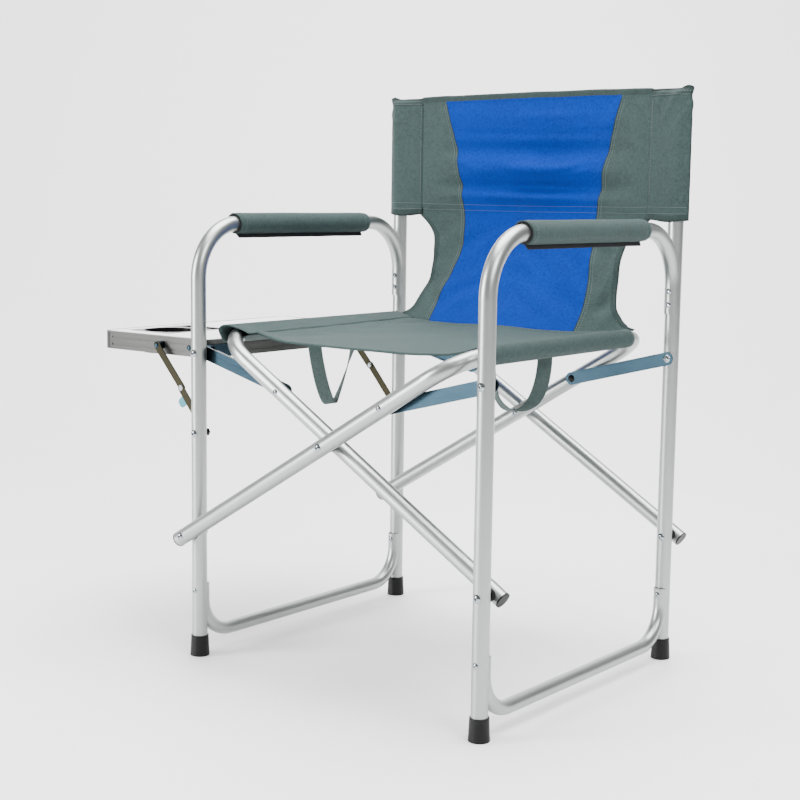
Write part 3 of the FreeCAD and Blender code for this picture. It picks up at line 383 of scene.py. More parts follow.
def settle(grid, held, stiff, gravity):
    """Let a grid of cloth settle under its own weight, held where held(row, column) says.

    Returns the settled grid.  No point moves further than MOST_SETTLING.
    """
    rows, cols, _ = grid.shape
    mesh = bpy.data.meshes.new("settling")
    verts = [tuple(place(*p)) for p in grid.reshape(-1, 3)]
    quads = [(r * cols + c, r * cols + c + 1, (r + 1) * cols + c + 1, (r + 1) * cols + c)
             for r in range(rows - 1) for c in range(cols - 1)]
    mesh.from_pydata(verts, [], quads)
    obj = add_object("settling", mesh)
    group = obj.vertex_groups.new(name="held")
    group.add([r * cols + c for r in range(rows) for c in range(cols) if held(r, c)], 1.0,
              "REPLACE")
    cloth = obj.modifiers.new("Cloth", "CLOTH")
    cloth.settings.quality = 6
    cloth.settings.mass = 0.25
    cloth.settings.tension_stiffness = stiff
    cloth.settings.compression_stiffness = stiff
    cloth.settings.shear_stiffness = stiff * 0.3
    cloth.settings.bending_stiffness = 0.4
    cloth.settings.air_damping = 4.0
    cloth.settings.vertex_group_mass = "held"
    cloth.settings.effector_weights.gravity = gravity
    cloth.point_cache.frame_start = 1
    cloth.point_cache.frame_end = SETTLING_FRAMES
    scene = bpy.context.scene
    for number in range(1, SETTLING_FRAMES + 1):
        scene.frame_set(number)
        bpy.context.view_layer.update()
    seen = obj.evaluated_get(bpy.context.evaluated_depsgraph_get())
    moved = np.array([list(v.co) for v in seen.data.vertices]).reshape(rows, cols, 3)
    moved = moved / MM
    moved[..., 0] -= CENTRE_X / MM
    scene.frame_set(1)
    bpy.data.objects.remove(obj)
    bpy.data.meshes.remove(mesh)
    shift = moved - grid
    size = np.linalg.norm(shift, axis=2, keepdims=True)
    shift *= np.minimum(1.0, MOST_SETTLING / np.maximum(size, 1e-6))
    return grid + shift


def on_grid(grid, u, v):
    """Point and normal of a grid at fractional column u and row v."""
    rows, cols, _ = grid.shape
    c = min(int(u), cols - 2)
    r = min(int(v), rows - 2)
    fu, fv = u - c, v - r
    a, b = grid[r, c], grid[r, c + 1]
    d, e = grid[r + 1, c], grid[r + 1, c + 1]
    point = a * (1 - fu) * (1 - fv) + b * fu * (1 - fv) + d * (1 - fu) * fv + e * fu * fv
    n = np.cross((b - a) * (1 - fv) + (e - d) * fv, (d - a) * (1 - fu) + (e - b) * fu)
    return point, unit(n)


# one stitch: its length, the step to the next, its thickness and how far its ends dip
STITCH, STEP, THREAD, DIP = 2.6, 3.9, 0.42, 0.35
THREAD_SIDES, BEAD_SIDES = 6, 8


def stitches(name, runs, lift=0.75):
    """Rows of thread on a cloth.  Each run is a list of (point, normal) in millimetres."""
    bm = bmesh.new()
    uv = bm.loops.layers.uv.new("cloth")
    for run in runs:
        points = np.array([p for p, _ in run])
        norms = np.array([n for _, n in run])
        lengths = np.concatenate([[0], np.cumsum(np.linalg.norm(np.diff(points, axis=0), axis=1))])
        at = STEP / 2
        while at + STITCH < lengths[-1]:
            spots = []
            for s in (at, at + STITCH / 2, at + STITCH):
                p = np.array([np.interp(s, lengths, points[:, k]) for k in range(3)])
                n = np.array([np.interp(s, lengths, norms[:, k]) for k in range(3)])
                spots.append((p, unit(n)))
            along = unit(spots[2][0] - spots[0][0])
            rings = []
            for (p, n), rise, wide in zip(spots, (lift - DIP, lift, lift - DIP), (0.5, 1.0, 0.5)):
                side = np.cross(along, n)
                ring = []
                for k in range(THREAD_SIDES):
                    angle = math.pi * k / (THREAD_SIDES / 2)
                    q = p + n * (rise + math.sin(angle) * THREAD * wide) \
                        + side * math.cos(angle) * THREAD * wide
                    ring.append(bm.verts.new(place(*q)))
                rings.append(ring)
            skin(bm, rings)
            at += STEP
    for made in bm.faces:
        for loop in made.loops:
            loop[uv].uv = (loop.vert.co.x, loop.vert.co.z)
    return finish_mesh(bm, name, ["thread"])


def rolls(name, runs, radius, label):
    """Rolled edges: a round bead of cloth along each run of points in millimetres."""
    bm = bmesh.new()
    uv = bm.loops.layers.uv.new("cloth")
    turns = [2 * math.pi * n / BEAD_SIDES for n in range(BEAD_SIDES)]
    never_along = (0.31, 0.94, 0.17)
    for run in runs:
        points = np.array(run)
        rings = []
        for k, p in enumerate(points):
            ahead = unit(points[min(k + 1, len(points) - 1)] - points[max(k - 1, 0)])
            side = unit(np.cross(ahead, never_along))
            up = np.cross(side, ahead)
            size = radius * (0.93 + 0.12 * fold(p[0], p[1], p[2], 9, 21))
            rings.append([bm.verts.new(place(*(p + size * (side * math.cos(a) + up * math.sin(a)))))
                          for a in turns])
        skin(bm, rings)
    for made in bm.faces:
        for loop in made.loops:
            loop[uv].uv = (loop.vert.co.x + loop.vert.co.y, loop.vert.co.z)
    bmesh.ops.recalc_face_normals(bm, faces=bm.faces)
    return finish_mesh(bm, name, [label])


def flat_cut(grid):
    """Width, length and area of the flat cloth that a grid was laid out from, in metres."""
    across = np.linalg.norm(np.diff(grid, axis=1), axis=2)
    down = np.linalg.norm(np.diff(grid, axis=0), axis=2)
    width = across.sum(axis=1).max() * MM
    length = down.sum(axis=0).max() * MM
    area = 0.0
    for first, second in ((grid[:-1, 1:] - grid[:-1, :-1], grid[1:, :-1] - grid[:-1, :-1]),
                          (grid[1:, :-1] - grid[1:, 1:], grid[:-1, 1:] - grid[1:, 1:])):
        area += 0.5 * np.linalg.norm(np.cross(first, second), axis=2).sum() * MM * MM
    return (width, length), min(area, width * length)


# -------------------------------------------------------------------- the back

LOW, TOP = 466.0, 827.0
# the sides are cut away for the arms, from the shoulder down, and are narrowest at the waist
SHOULDER, WAIST = 645.0, 562.0
BINDING_TOP = 640.0
NEAR_SEAT = 500.0
SHOULDER_HALF, WAIST_HALF, FOOT_HALF = 275.0, 174.0, 228.0
ROUNDNESS = 2.6
SIDE_COLS, MID_COLS = 22, 64
BACK_ROWS = 130
HEM = 9.0
# above TUCK_FROM the panel ends at this half width, beside the sleeves, which go on from it
TUCK, TUCK_FROM = 216.0, 636.0


def edge_half(z):
    """Half width of the back cloth: cut away above the seat for the arms."""
    if z >= SHOULDER:
        return SHOULDER_HALF
    t = abs(z - WAIST) / (SHOULDER - WAIST)
    full = SHOULDER_HALF if z > WAIST else FOOT_HALF
    half = full - (full - WAIST_HALF) * max(1 - t ** ROUNDNESS, 0.0) ** (1 / ROUNDNESS)
    if z >= NEAR_SEAT:
        return half
    # the foot of the back narrows towards the seat, so that it clears the rails
    return min(half, 222.0 - 1.6 * max(484.0 - z, 0))


def blue_half(z, side):
    """Half width of the blue panel, eased between a few heights where its seam was placed."""
    heights = [466, 490, 520, 550, 584, 615, 650, 695, 740, 780, 817, 830]
    left = [143, 142, 138, 130, 122, 121.5, 127, 135, 144, 154, 166, 170]
    right = [122, 127, 129, 125, 121, 120.5, 124, 131, 140, 151, 163, 167]
    near = [z + off for off in (-14, -7, 0, 7, 14)]
    return float(np.mean(np.interp(near, heights, left if side < 0 else right)))


def seat_rear(x):
    """Where the seat's rear edge meets the back: further back at the rails."""
    return 154.0 + 34.0 * min(abs(x) / 222.0, 1.0) ** 2


# height, depth and width of each fold that runs across the back
FOLDS = [(790, -4.2, 14), (766, 3.4, 9), (741, 8.7, 13), (715, -9.5, 12), (684, 7.6, 9),
         (670, -5.7, 8)]


def fold_bands(z):
    """How far the folds push the back at a height."""
    return sum(depth * math.exp(-((z - middle) / wide) ** 2) for middle, depth, wide in FOLDS)


def back_point(x, z):
    """Depth of the middle surface of the back, before it settles."""
    span = POST["right"][0] - POST["left"][0]
    share = (x - POST["left"][0]) / span
    y = POST["left"][1] - (POST["left"][1] - POST["right"][1]) * share
    # slack between the posts, and the sweep forwards to the seat
    bow = hump(x, 262.0)
    flush = hump(x, 206.0) if z > BINDING_TOP else bow
    y += 7.0 * (flush + (bow - flush) * smooth(655, 640, z))
    down = min(max((648 - z) / 172.0, 0), 1)
    reach = y - (seat_rear(x) + 1.9)
    y -= reach * down ** 1.35
    y += 5.0 * math.sin(down * math.pi) * bow
    y += fold_bands(z) * hump(x, 200.0) * (0.8 + 0.4 * fold(x, 0, z, 130, 3))
    # creases of the narrow part below the shoulder
    below = smooth(640, 600, z) * smooth(478, 510, z)
    crease = math.sin((z * 0.9 + abs(x) * 0.55) / 8.5 + 1.8 * fold(x, 0, z, 60, 5))
    y += 4.4 * below * crease * fold(x, 3, z, 70, 1)
    # slanted wrinkles beside the blue panel, and small unevenness all over
    outer = smooth(125, 165, abs(x)) * smooth(235, 200, abs(x))
    slanted = math.sin((z * 0.55 - abs(x) * 0.9) / 7.0 + 2.0 * fold(x, 0, z, 50, 8))
    y += 1.5 * outer * slanted * (0.35 + 0.65 * below + smooth(730, 800, z) * 0.8) * flush * 2.6
    y += 1.3 * fold(x, 0, z, 38, 9) * flush
    return y


def top_edge(x):
    """Height of the top hem, a little higher in the middle."""
    return 822.0 + 3.5 * hump(x, SHOULDER_HALF) + 0.8 * fold(x, 0, 0, 60, 2)


levels = [LOW + (TOP - LOW) * r / BACK_ROWS for r in range(BACK_ROWS + 1)]
last_col = 2 * SIDE_COLS + MID_COLS


def back_columns(level):
    """Places across the back at a level: left side, blue middle, right side."""
    runs = []
    for _, side in SIDES:
        outer = min(edge_half(level), TUCK) if level > TUCK_FROM else edge_half(level)
        inner = blue_half(level, side)
        runs.append([side * (inner + (outer - inner) * k / SIDE_COLS) for k in range(SIDE_COLS + 1)])
    left = runs[0][::-1]
    right = runs[1]
    middle = [left[-1] + (right[0] - left[-1]) * k / MID_COLS for k in range(1, MID_COLS)]
    return left + middle + right


def lay_out_back():
    """Grid of the back cloth, before it settles: rows up from the seat, columns from the left."""
    grid = np.zeros((BACK_ROWS + 1, last_col + 1, 3))
    for r, level in enumerate(levels):
        for c, x in enumerate(back_columns(level)):
            z = level
            if level > SHOULDER:
                z = SHOULDER + (level - SHOULDER) * (top_edge(x) - SHOULDER) / (TOP - SHOULDER)
            z += smooth(SHOULDER, 479, level) * 4.0 * (abs(x) / 225.0) ** 2
            grid[r, c] = (x, back_point(x, z), z)
    return grid


def back_held(r, c):
    edge = c <= 1 or c >= last_col - 1
    return r <= 1 or (edge and levels[r] > BINDING_TOP) or r >= BACK_ROWS - 2


def crease_back(grid):
    """Put back half of each fold: they are creased into the cloth, so they outlast its settling."""
    for r, level in enumerate(levels):
        for c in range(last_col + 1):
            x = grid[r, c, 0]
            slack = hump(x, 195.0) * (0.75 + 0.5 * fold(x, 0, level, 110, 3))
            grid[r, c, 1] += 0.5 * fold_bands(level + 0.04 * x) * slack


def back_thickness(grid):
    """One layer of cloth, doubled at the top hem and in the bound edges under the arms."""
    thick = np.full(grid.shape[:2], 1.3)
    for r, level in enumerate(levels):
        if level > TOP - HEM:
            thick[r] = 2.8
        if 482 < level < BINDING_TOP:
            thick[r, edge_half(level) - abs(grid[r, :, 0]) < 9] = 2.9
    return thick


def paint_back(r, c):
    """Binding at the top hem and the cut-away edges, blue in the middle, grey at the sides."""
    if levels[r] > TOP - HEM:
        return "grey_binding"
    if SIDE_COLS <= c < SIDE_COLS + MID_COLS:
        return "blue_cloth"
    edge = min(c, last_col - 1 - c)
    bound = levels[r] < BINDING_TOP and edge * (edge_half(levels[r]) - 125) / SIDE_COLS < 8.0
    return "grey_binding" if bound else "grey_cloth"


back = lay_out_back()
back = settle(back, back_held, stiff=18, gravity=0.4)
crease_back(back)
back_cloth = shell("back_cloth", back, back_thickness(back), paint_back)


def back_spot(x, level):
    """Point on the front of the settled back cloth, by x and level."""
    v = (level - LOW) / (TOP - LOW) * BACK_ROWS
    v = min(max(v, 0.01), BACK_ROWS - 0.01)
    r = int(v)
    row = back[r, :, 0] * (1 - (v - r)) + back[r + 1, :, 0] * (v - r)
    u = float(np.interp(x, row, np.arange(last_col + 1)))
    point, n = on_grid(back, min(u, last_col - 0.01), v)
    if n[1] > 0:
        n = -n
    return point, n


ACROSS_BACK = range(-214, 215, 4)


def back_run(points):
    """A run for stitches() through places on the back."""
    return [back_spot(x, level) for x, level in points]


def sew_back():
    """Double rows over the shoulder and the top hem, and beside the blue panel and the edges."""
    runs = []
    for level in (647.5, 656.5, 820.0, 825.5):
        runs.append(back_run([(x, level) for x in ACROSS_BACK]))
    for _, side in SIDES:
        for off in (2.5, 7.0):
            runs.append(back_run([(side * (blue_half(z, side) + off), z)
                                  for z in range(474, 816, 4)]))
        for off in (2.8, 8.2):
            runs.append(back_run([(side * (edge_half(z) - off), z) for z in range(487, 637, 3)]))
    return stitches("back_stitching", runs)


def pipe_back():
    """Beads along the bound edges and the top, and the raised seams of the blue panel."""
    edges, seams = [], []
    for _, side in SIDES:
        edges.append([back_spot(side * (edge_half(z) - 0.3), z)[0] for z in range(484, 640, 3)])
        seams.append([back_spot(side * (blue_half(z, side) + 0.2), z)[0] + (0, -0.5, 0)
                      for z in range(470, 818, 4)])
    edges.append([back_spot(x, TOP - 0.3)[0] for x in ACROSS_BACK])
    return (rolls("back_piping", edges, 1.25, "dark_piping"),
            rolls("back_seams", seams, 0.75, "dark_piping"))


back_thread = sew_back()
back_piping, back_seams = pipe_back()


# ---------------------------------------------------- sleeves round posts and rails

def between(a, b, share):
    """Point at a share of the straight way from a to b."""
    return tuple(p + (q - p) * share for p, q in zip(a, b))


def teardrop(radius, reach, tip):
    """Outline of a cloth sleeve: round the tube, then two flat layers to its seam.

    The seam lies at the reach from the tube's centre, with its layers a tip either side.
    """
    steps, arc_steps = 8, 18
    start = math.atan2(tip, reach) + math.acos(radius / math.hypot(reach, tip))
    top = (radius * math.cos(start), radius * math.sin(start))
    low = (top[0], -top[1])
    points = [between((reach, tip), top, k / steps) for k in range(steps)]
    arc = 2 * math.pi - 2 * start
    for k in range(arc_steps + 1):
        angle = start + arc * k / arc_steps
        points.append((radius * math.cos(angle), radius * math.sin(angle)))
    points += [between(low, (reach, -tip), k / steps) for k in range(1, steps)]
    return points + [(reach, -tip)]


def lens(radius, reach, tip, outer, lip):
    """Outline of a sleeve sewn on both sides of its tube: flat inner layers and an outer seam."""
    inner_steps, arc_steps, outer_steps = 14, 8, 4
    start = math.atan2(tip, reach) + math.acos(radius / math.hypot(reach, tip))
    stop = math.pi - math.atan2(lip, outer) - math.acos(radius / math.hypot(outer, lip))
    top = (radius * math.cos(start), radius * math.sin(start))
    upper = [between((reach, tip), top, k / inner_steps) for k in range(inner_steps)]
    for k in range(arc_steps + 1):
        angle = start + (stop - start) * k / arc_steps
        upper.append((radius * math.cos(angle), radius * math.sin(angle)))
    for k in range(1, outer_steps + 1):
        share = k / outer_steps
        upper.append((radius * math.cos(stop) * (1 - share) - outer * share,
                      radius * math.sin(stop) * (1 - share) + lip * share))
    return upper + [(d, -n) for d, n in upper[::-1]]


def seam_thickness(outline, rows):
    """Cloth thickness over a sleeve, thin where its two layers meet in the seam."""
    columns = np.arange(len(outline))
    from_tip = np.minimum(columns, len(outline) - 1 - columns)
    return np.tile(0.3 + 0.8 * np.clip(from_tip / 4.0, 0, 1), (rows, 1))


SLEEVE_FOOT, SLEEVE_TOP = 639.0, 820.0
POST_SLEEVE_ROWS, RAIL_SLEEVE_ROWS = 72, 56
POST_SEAM, OUTER_SEAM, SEAM_HALF = 47.0, 19.5, 0.8
RAIL_SEAM = 36.0
# the turn of the line through both posts, which the sleeves follow
POST_TURN = math.radians(-3.082)


def post_sleeve(name, side):
    """The pocket of back cloth that slides over a rear post."""
    x0, y0 = POST[name]
    inward = np.array([math.cos(POST_TURN), math.sin(POST_TURN)]) * -side
    facing = np.array([-math.sin(POST_TURN), math.cos(POST_TURN)])
    outline = lens(12.6, POST_SEAM, SEAM_HALF, OUTER_SEAM, SEAM_HALF)
    rows = POST_SLEEVE_ROWS
    grid = np.zeros((rows + 1, len(outline), 3))
    for r in range(rows + 1):
        for c, (d, n) in enumerate(outline):
            low = SLEEVE_FOOT - 2.5 * smooth(-20, 10, d) * smooth(40, 10, d)
            high = top_edge(x0) - 1.0 + 4.0 * smooth(-2, -13, d) - 2.0 * smooth(-14, -20, d)
            z = low + (high - low) * (r / rows)
            # the pocket closes over the post's plug, and its loose cloth waves
            close = smooth(815.2, high - 0.6, z)
            loose = smooth(44, 30, d) * smooth(-OUTER_SEAM, -12, d)
            wave = 1.1 * fold(d * 1.5, 0, z, 30, 4 + side) \
                + 2.2 * smooth(752, 800, z) * math.sin((z * 0.8 + d * 1.3) / 6.0)
            n2 = n * (1 - 0.86 * close * smooth(0, 2, abs(n)))
            n2 += max(wave, -0.3) * loose * (-0.9 if n < 0 else 0.5)
            sway = 1.4 * smooth(775, 815, z) * math.sin(z / 4.0) * smooth(-8, -19, d)
            px = x0 + inward[0] * (d + sway) + facing[0] * n2
            py = y0 + inward[1] * (d + sway) + facing[1] * n2
            grid[r, c] = (px, py, z)
    band = rows - round(rows * HEM / (SLEEVE_TOP - SLEEVE_FOOT))
    sleeve = shell("back_sleeve_cloth_" + name, grid, seam_thickness(outline, rows + 1),
                   lambda r, c: "grey_binding" if r >= band or r < 3 else "grey_cloth")
    return sleeve, grid


def rail_sleeve(name, side, start, finish):
    """Seat cloth wrapped round a rail and sewn back to the seat."""
    outline = teardrop(12.45, RAIL_SEAM, SEAM_HALF)
    rows = RAIL_SLEEVE_ROWS
    grid = np.zeros((rows + 1, len(outline), 3))
    for r in range(rows + 1):
        for c, (d, n) in enumerate(outline):
            y = start + (finish - start) * r / rows
            if side < 0:
                # the front corner of the left sleeve is pulled out to a point
                outward = smooth(26, -12, d) * (0.6 + 0.4 * smooth(-6, 8, n))
                y -= 13.0 * smooth(0.10, 0.0, r / rows) * outward
            off = seat_height(side * (RAIL_X - RAIL_SEAM), y) - RAIL_Z
            drop = off * smooth(0, RAIL_SEAM, d)
            ripple = 0.7 * fold(d * 2 + 40, y, n, 34, 8 + side) * smooth(6, 16, d) * smooth(38, 30, d)
            grid[r, c] = (side * (RAIL_X - d), y, RAIL_Z + n + drop + ripple)
    sleeve = shell("seat_sleeve_cloth_" + name, grid, seam_thickness(outline, rows + 1),
                   lambda r, c: "grey_cloth")
    return sleeve, grid


# -------------------------------------------------------------------- the seat

SEAT_COLS, SEAT_ROWS = 84, 70
SEAT_HALF = 190.0
ACROSS_SEAT = range(-186, 187, 4)


def seat_front(x):
    """The seat's front edge bows forwards in the middle."""
    return -176.0 + 3.0 * (x / SEAT_HALF) ** 2


def seat_height(x, y):
    """Seat surface: nearly flat, lifted towards the rails and towards the back."""
    power = 4.0 if x > 0 else 6.0
    aside = min(abs(x) / 206.0, 1.0)
    rear = (min(max((y + 175) / 330.0, 0), 1)) ** 1.6
    return 465.5 + 13.5 * aside ** power * (1 - 0.35 * rear) + 9.5 * rear * (1 - 0.5 * aside ** 2)


def lay_out_seat():
    """Grid of the seat cloth, before it settles: rows back from the front hem."""
    grid = np.zeros((SEAT_ROWS + 1, SEAT_COLS + 1, 3))
    for r in range(SEAT_ROWS + 1):
        for c in range(SEAT_COLS + 1):
            x = -SEAT_HALF + 2 * SEAT_HALF * c / SEAT_COLS
            y = seat_front(x) + (seat_rear(x) - seat_front(x)) * r / SEAT_ROWS
            z = seat_height(x, y)
            z += hump(x, SEAT_HALF) * (1.6 * fold(x, y, 0, 90, 6) + 1.0
                                       * math.sin((x * 0.5 + y * 0.8) / 17.0) * smooth(60, 150, y))
            pull = smooth(110, 160, abs(x)) * smooth(SEAT_HALF, 172, abs(x))
            z += 0.8 * pull * math.sin(y / 13.0 + abs(x) / 22.0 + 2 * fold(x, y, 0, 60, 31))
            grid[r, c] = (x, y, z)
    return grid


def seat_held(r, c):
    return c <= 1 or c >= SEAT_COLS - 1 or r >= SEAT_ROWS - 1


seat = lay_out_seat()
seat = settle(seat, seat_held, stiff=25, gravity=0.5)
seat_thick = np.full(seat.shape[:2], 1.4)
# the front hem
seat_thick[:4, :] = 3.0
seat_cloth = shell("seat_cloth", seat, seat_thick, lambda r, c: "grey_cloth")


def seat_spot(x, y):
    """Point on the top of the settled seat cloth."""
    u = (x + SEAT_HALF) / (2 * SEAT_HALF) * SEAT_COLS
    v = (y - seat_front(x)) / (seat_rear(x) - seat_front(x)) * SEAT_ROWS
    point, n = on_grid(seat, min(max(u, 0.01), SEAT_COLS - 0.01),
                       min(max(v, 0.01), SEAT_ROWS - 0.01))
    if n[2] < 0:
        n = -n
    return point, n


seat_runs = [[seat_spot(x, seat_front(x) + inset) for x in ACROSS_SEAT] for inset in (9.0, 13.0)]
seat_runs.append([seat_spot(x, seat_rear(x) - 5.0) for x in ACROSS_SEAT])
seat_thread = stitches("seat_stitching", seat_runs, lift=1.2)


# ------------------------------------------------------------ sewing of the sleeves

def sew_post_sleeve(name, grid):
    """Rows of stitches on both faces of a post sleeve."""
    rows = grid.shape[0]
    half = grid.shape[1] // 2

    def spot(column, height, ahead):
        v = float(np.interp(height, grid[:, column, 2], np.arange(rows)))
        r = min(int(v), rows - 2)
        p = grid[r, column] + (grid[r + 1, column] - grid[r, column]) * (v - r)
        return p, np.array([0.0, ahead, 0.0])

    runs = []
    for first, seam, ahead in ((0, 1, 1.0), (half, 2 * half - 2, -1.0)):
        runs.append([spot(seam, z, ahead) for z in range(672, 812, 4)])
        for level in (647.5, 656.5, 813.5, 818.5):
            runs.append([spot(c, level, ahead) for c in range(first, first + half)])
    return stitches("back_sleeve_stitching_" + name, runs, lift=0.85)


def pipe_post_sleeve(name, grid):
    """Beads along the outer seam, the foot and the top of a post sleeve."""
    half = grid.shape[1] // 2
    rim = list(grid[:, half - 1] * 0.5 + grid[:, half] * 0.5)
    return rolls("back_sleeve_piping_" + name, [rim, grid[0], grid[-1, half:]], 1.25, "dark_piping")


def sew_rail_sleeve(name, grid):
    """A row of stitches along the seam, above and below."""
    runs = []
    for column, up in ((1, 1.0), (grid.shape[1] - 2, -1.0)):
        runs.append([(grid[r, column], np.array([0.0, 0.0, up])) for r in range(1, RAIL_SLEEVE_ROWS)])
    return stitches("seat_sleeve_stitching_" + name, runs, lift=0.85)


RAIL_SLEEVE_ENDS = {"left": (-192.0, 184.0), "right": (-184.0, 158.0)}
post_sleeves, rail_sleeves = {}, {}
for name, side in SIDES:
    cloth, grid = post_sleeve(name, side)
    thread = sew_post_sleeve(name, grid)
    post_sleeves[name] = (cloth, thread, pipe_post_sleeve(name, grid), flat_cut(grid))
    cloth, grid = rail_sleeve(name, side, *RAIL_SLEEVE_ENDS[name])
    rail_sleeves[name] = (cloth, sew_rail_sleeve(name, grid), flat_cut(grid))


# ---------------------------------------------------------------- webbing loops

def curve(points, count):
    """Catmull-Rom points through a short list."""
    pts = [np.array(p, float) for p in points]
    pts = [pts[0] * 2 - pts[1]] + pts + [pts[-1] * 2 - pts[-2]]
    out = []
    spans = len(pts) - 3
    for k in range(count + 1):
        t = k / count * spans
        i = min(int(t), spans - 1)
        f = t - i
        a, b, c, d = pts[i:i + 4]
        out.append(0.5 * (2 * b + (c - a) * f + (2 * a - 5 * b + 4 * c - d) * f ** 2
                          + (3 * b - a - 3 * c + d) * f ** 3))
    return out


WEBBING_WIDE, WEBBING_COLS = 20.0, 9


def webbing(name, points, faces):
    """A loop of strap: faces gives the direction across it at shares of its length.

    Returns the piece and its flat width and length in metres.
    """
    path = curve(points, 64)
    grid = np.zeros((len(path), WEBBING_COLS, 3))
    for r, p in enumerate(path):
        share = r / (len(path) - 1)
        ahead = unit(path[min(r + 1, len(path) - 1)] - path[max(r - 1, 0)])
        across = np.array([np.interp(share, [f[0] for f in faces], [f[n] for f in faces])
                           for n in (1, 2, 3)])
        across -= ahead * across.dot(ahead)
        across /= np.linalg.norm(across)
        for c in range(WEBBING_COLS):
            grid[r, c] = p + across * WEBBING_WIDE * (c / (WEBBING_COLS - 1) - 0.5)
    length = sum(np.linalg.norm(b - a) for a, b in zip(path, path[1:]))
    strap = shell("webbing_" + name, grid, 1.3, lambda r, c: "webbing")
    return strap, (WEBBING_WIDE * MM, length * MM)


loops = {
    "left": webbing(
        "left",
        [(-197, -40, 466), (-198, -34, 432), (-200, -20, 392), (-201, -6, 364), (-201, 4, 354),
         (-200, 16, 362), (-199, 36, 400), (-198, 52, 438), (-198, 60, 466)],
        [(0, 0.78, 0.62, 0), (0.36, 0.82, 0.57, 0), (0.5, 0.98, 0.1, 0.2), (0.62, 0.85, -0.5, 0.1),
         (0.78, 0.62, -0.78, 0), (1, 1, 0, 0)]),
    "right": webbing(
        "right",
        [(198, -138, 468), (200, -140, 440), (201, -134, 414), (202, -112, 396), (202, -82, 391),
         (201, -52, 398), (200, -32, 418), (199, -22, 444), (198, -20, 468)],
        [(0, 0.62, -0.78, 0), (0.25, 0.8, -0.6, 0), (0.5, 1, 0, 0.1), (0.75, 0.9, 0.45, 0),
         (1, 0.78, 0.62, 0)]),
}


# -------------------------------------------------------------------- arm pads

ARM_HALF, ARM_Z = 260.0, 625.0
# the front of each arm, and how far behind it the pad starts and ends
ARM_FRONT = {"left": -215.0, "right": -243.0}
PAD_START, PAD_END = 71.0, 363.0
PAD_ROWS, COVER_COLS, FLAP_COLS = 74, 44, 7
FOAM_ROWS, FOAM_COLS = 30, 40


def pad_cover(x0, start, finish):
    """Cloth wrapped round the arm: it starts and ends under the arm, where the flap hangs."""
    cover = np.zeros((PAD_ROWS + 1, COVER_COLS, 3))
    for r in range(PAD_ROWS + 1):
        share = r / PAD_ROWS
        y = start + (finish - start) * share
        end = min(share, 1 - share) * (finish - start)
        for c in range(COVER_COLS):
            angle = math.radians(-82 + 344.0 * c / (COVER_COLS - 1))
            wrinkle = 0.35 * fold(angle * 9, y, 0, 30, 11) + 0.35 * fold(angle * 20, y, 5, 70, 12)
            pucker = 0.3 * math.sin(y / 5.0 + 2 * math.cos(angle)) * smooth(16, 0, end)
            radius = 14.75 + wrinkle * 0.7 + pucker - 0.5 * smooth(8, 0, end)
            shift = 4.0 * smooth(0.05, 0.0, share) * (0.5 - 0.5 * math.sin(angle))
            cover[r, c] = (x0 + radius * math.cos(angle), y + shift,
                           ARM_Z + radius * math.sin(angle))
    return cover


def pad_flap(x0, start, finish):
    """The closing flap that hangs under the arm."""
    flap = np.zeros((PAD_ROWS + 1, FLAP_COLS, 3))
    for r in range(PAD_ROWS + 1):
        share = r / PAD_ROWS
        y = start + 3 + (finish - start - 12) * share
        for c in range(FLAP_COLS):
            drop = c / (FLAP_COLS - 1)
            z = ARM_Z - 14.2 - 6.4 * drop + 0.25 * fold(y, 0, c, 30, 14)
            x = x0 + (1.2 + 2.2 * drop) + 0.4 * fold(y, c, 0, 50, 15)
            flap[r, c] = (x, y + 5.0 * drop * smooth(0.1, 0, share), z)
    return flap


def pad_foam(x0, start, finish):
    """Foam tube between the arm and its cover."""
    foam = np.zeros((FOAM_ROWS, FOAM_COLS, 3))
    for r in range(FOAM_ROWS):
        y = start + 1.5 + (finish - start - 5) * r / (FOAM_ROWS - 1)
        for c in range(FOAM_COLS):
            angle = 2 * math.pi * c / FOAM_COLS
            radius = 12.6 + 0.25 * fold(angle * 6, y, 0, 12, 17)
            foam[r, c] = (x0 + radius * math.cos(angle), y, ARM_Z + radius * math.sin(angle))
    return foam


def sew_pad(name, x0, cover):
    """A row of stitches round each end of the cover."""
    runs = []
    for r in (3, PAD_ROWS - 3):
        run = [(p, unit(np.array([p[0] - x0, 0, p[2] - ARM_Z]))) for p in cover[r, 1:-1]]
        runs.append(run)
    return stitches("arm_stitching_" + name, runs, lift=0.7)


def arm_pad(name, side):
    """Padded cover wrapped round the arm and closed under it, over black foam.

    Returns the cover, flap, foam and stitches, and the cover's flat cut.
    """
    x0 = side * ARM_HALF
    ends = (ARM_FRONT[name] + PAD_START, ARM_FRONT[name] + PAD_END)
    cover = pad_cover(x0, *ends)
    pieces = (shell("arm_cover_cloth_" + name, cover, 1.2, lambda r, c: "grey_cloth"),
              shell("arm_flap_" + name, pad_flap(x0, *ends), 1.9, lambda r, c: "black_lining"),
              shell("arm_foam_pad_" + name, pad_foam(x0, *ends), 2.4, lambda r, c: "foam",
                    around=True),
              sew_pad(name, x0, cover))
    return pieces, flat_cut(cover)


pads = {name: arm_pad(name, side) for name, side in SIDES}


# -------------------------------------------- what each piece stands for and rides

RAIL_BODY = {"left": "scissor_b", "right": "scissor_a"}

for piece in (back_cloth, back_thread, back_piping, back_seams):
    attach(piece, "left_frame")
    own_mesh(piece)
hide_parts("back_panel")

for piece in (seat_cloth, seat_thread):
    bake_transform(piece)
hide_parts("seat_panel")

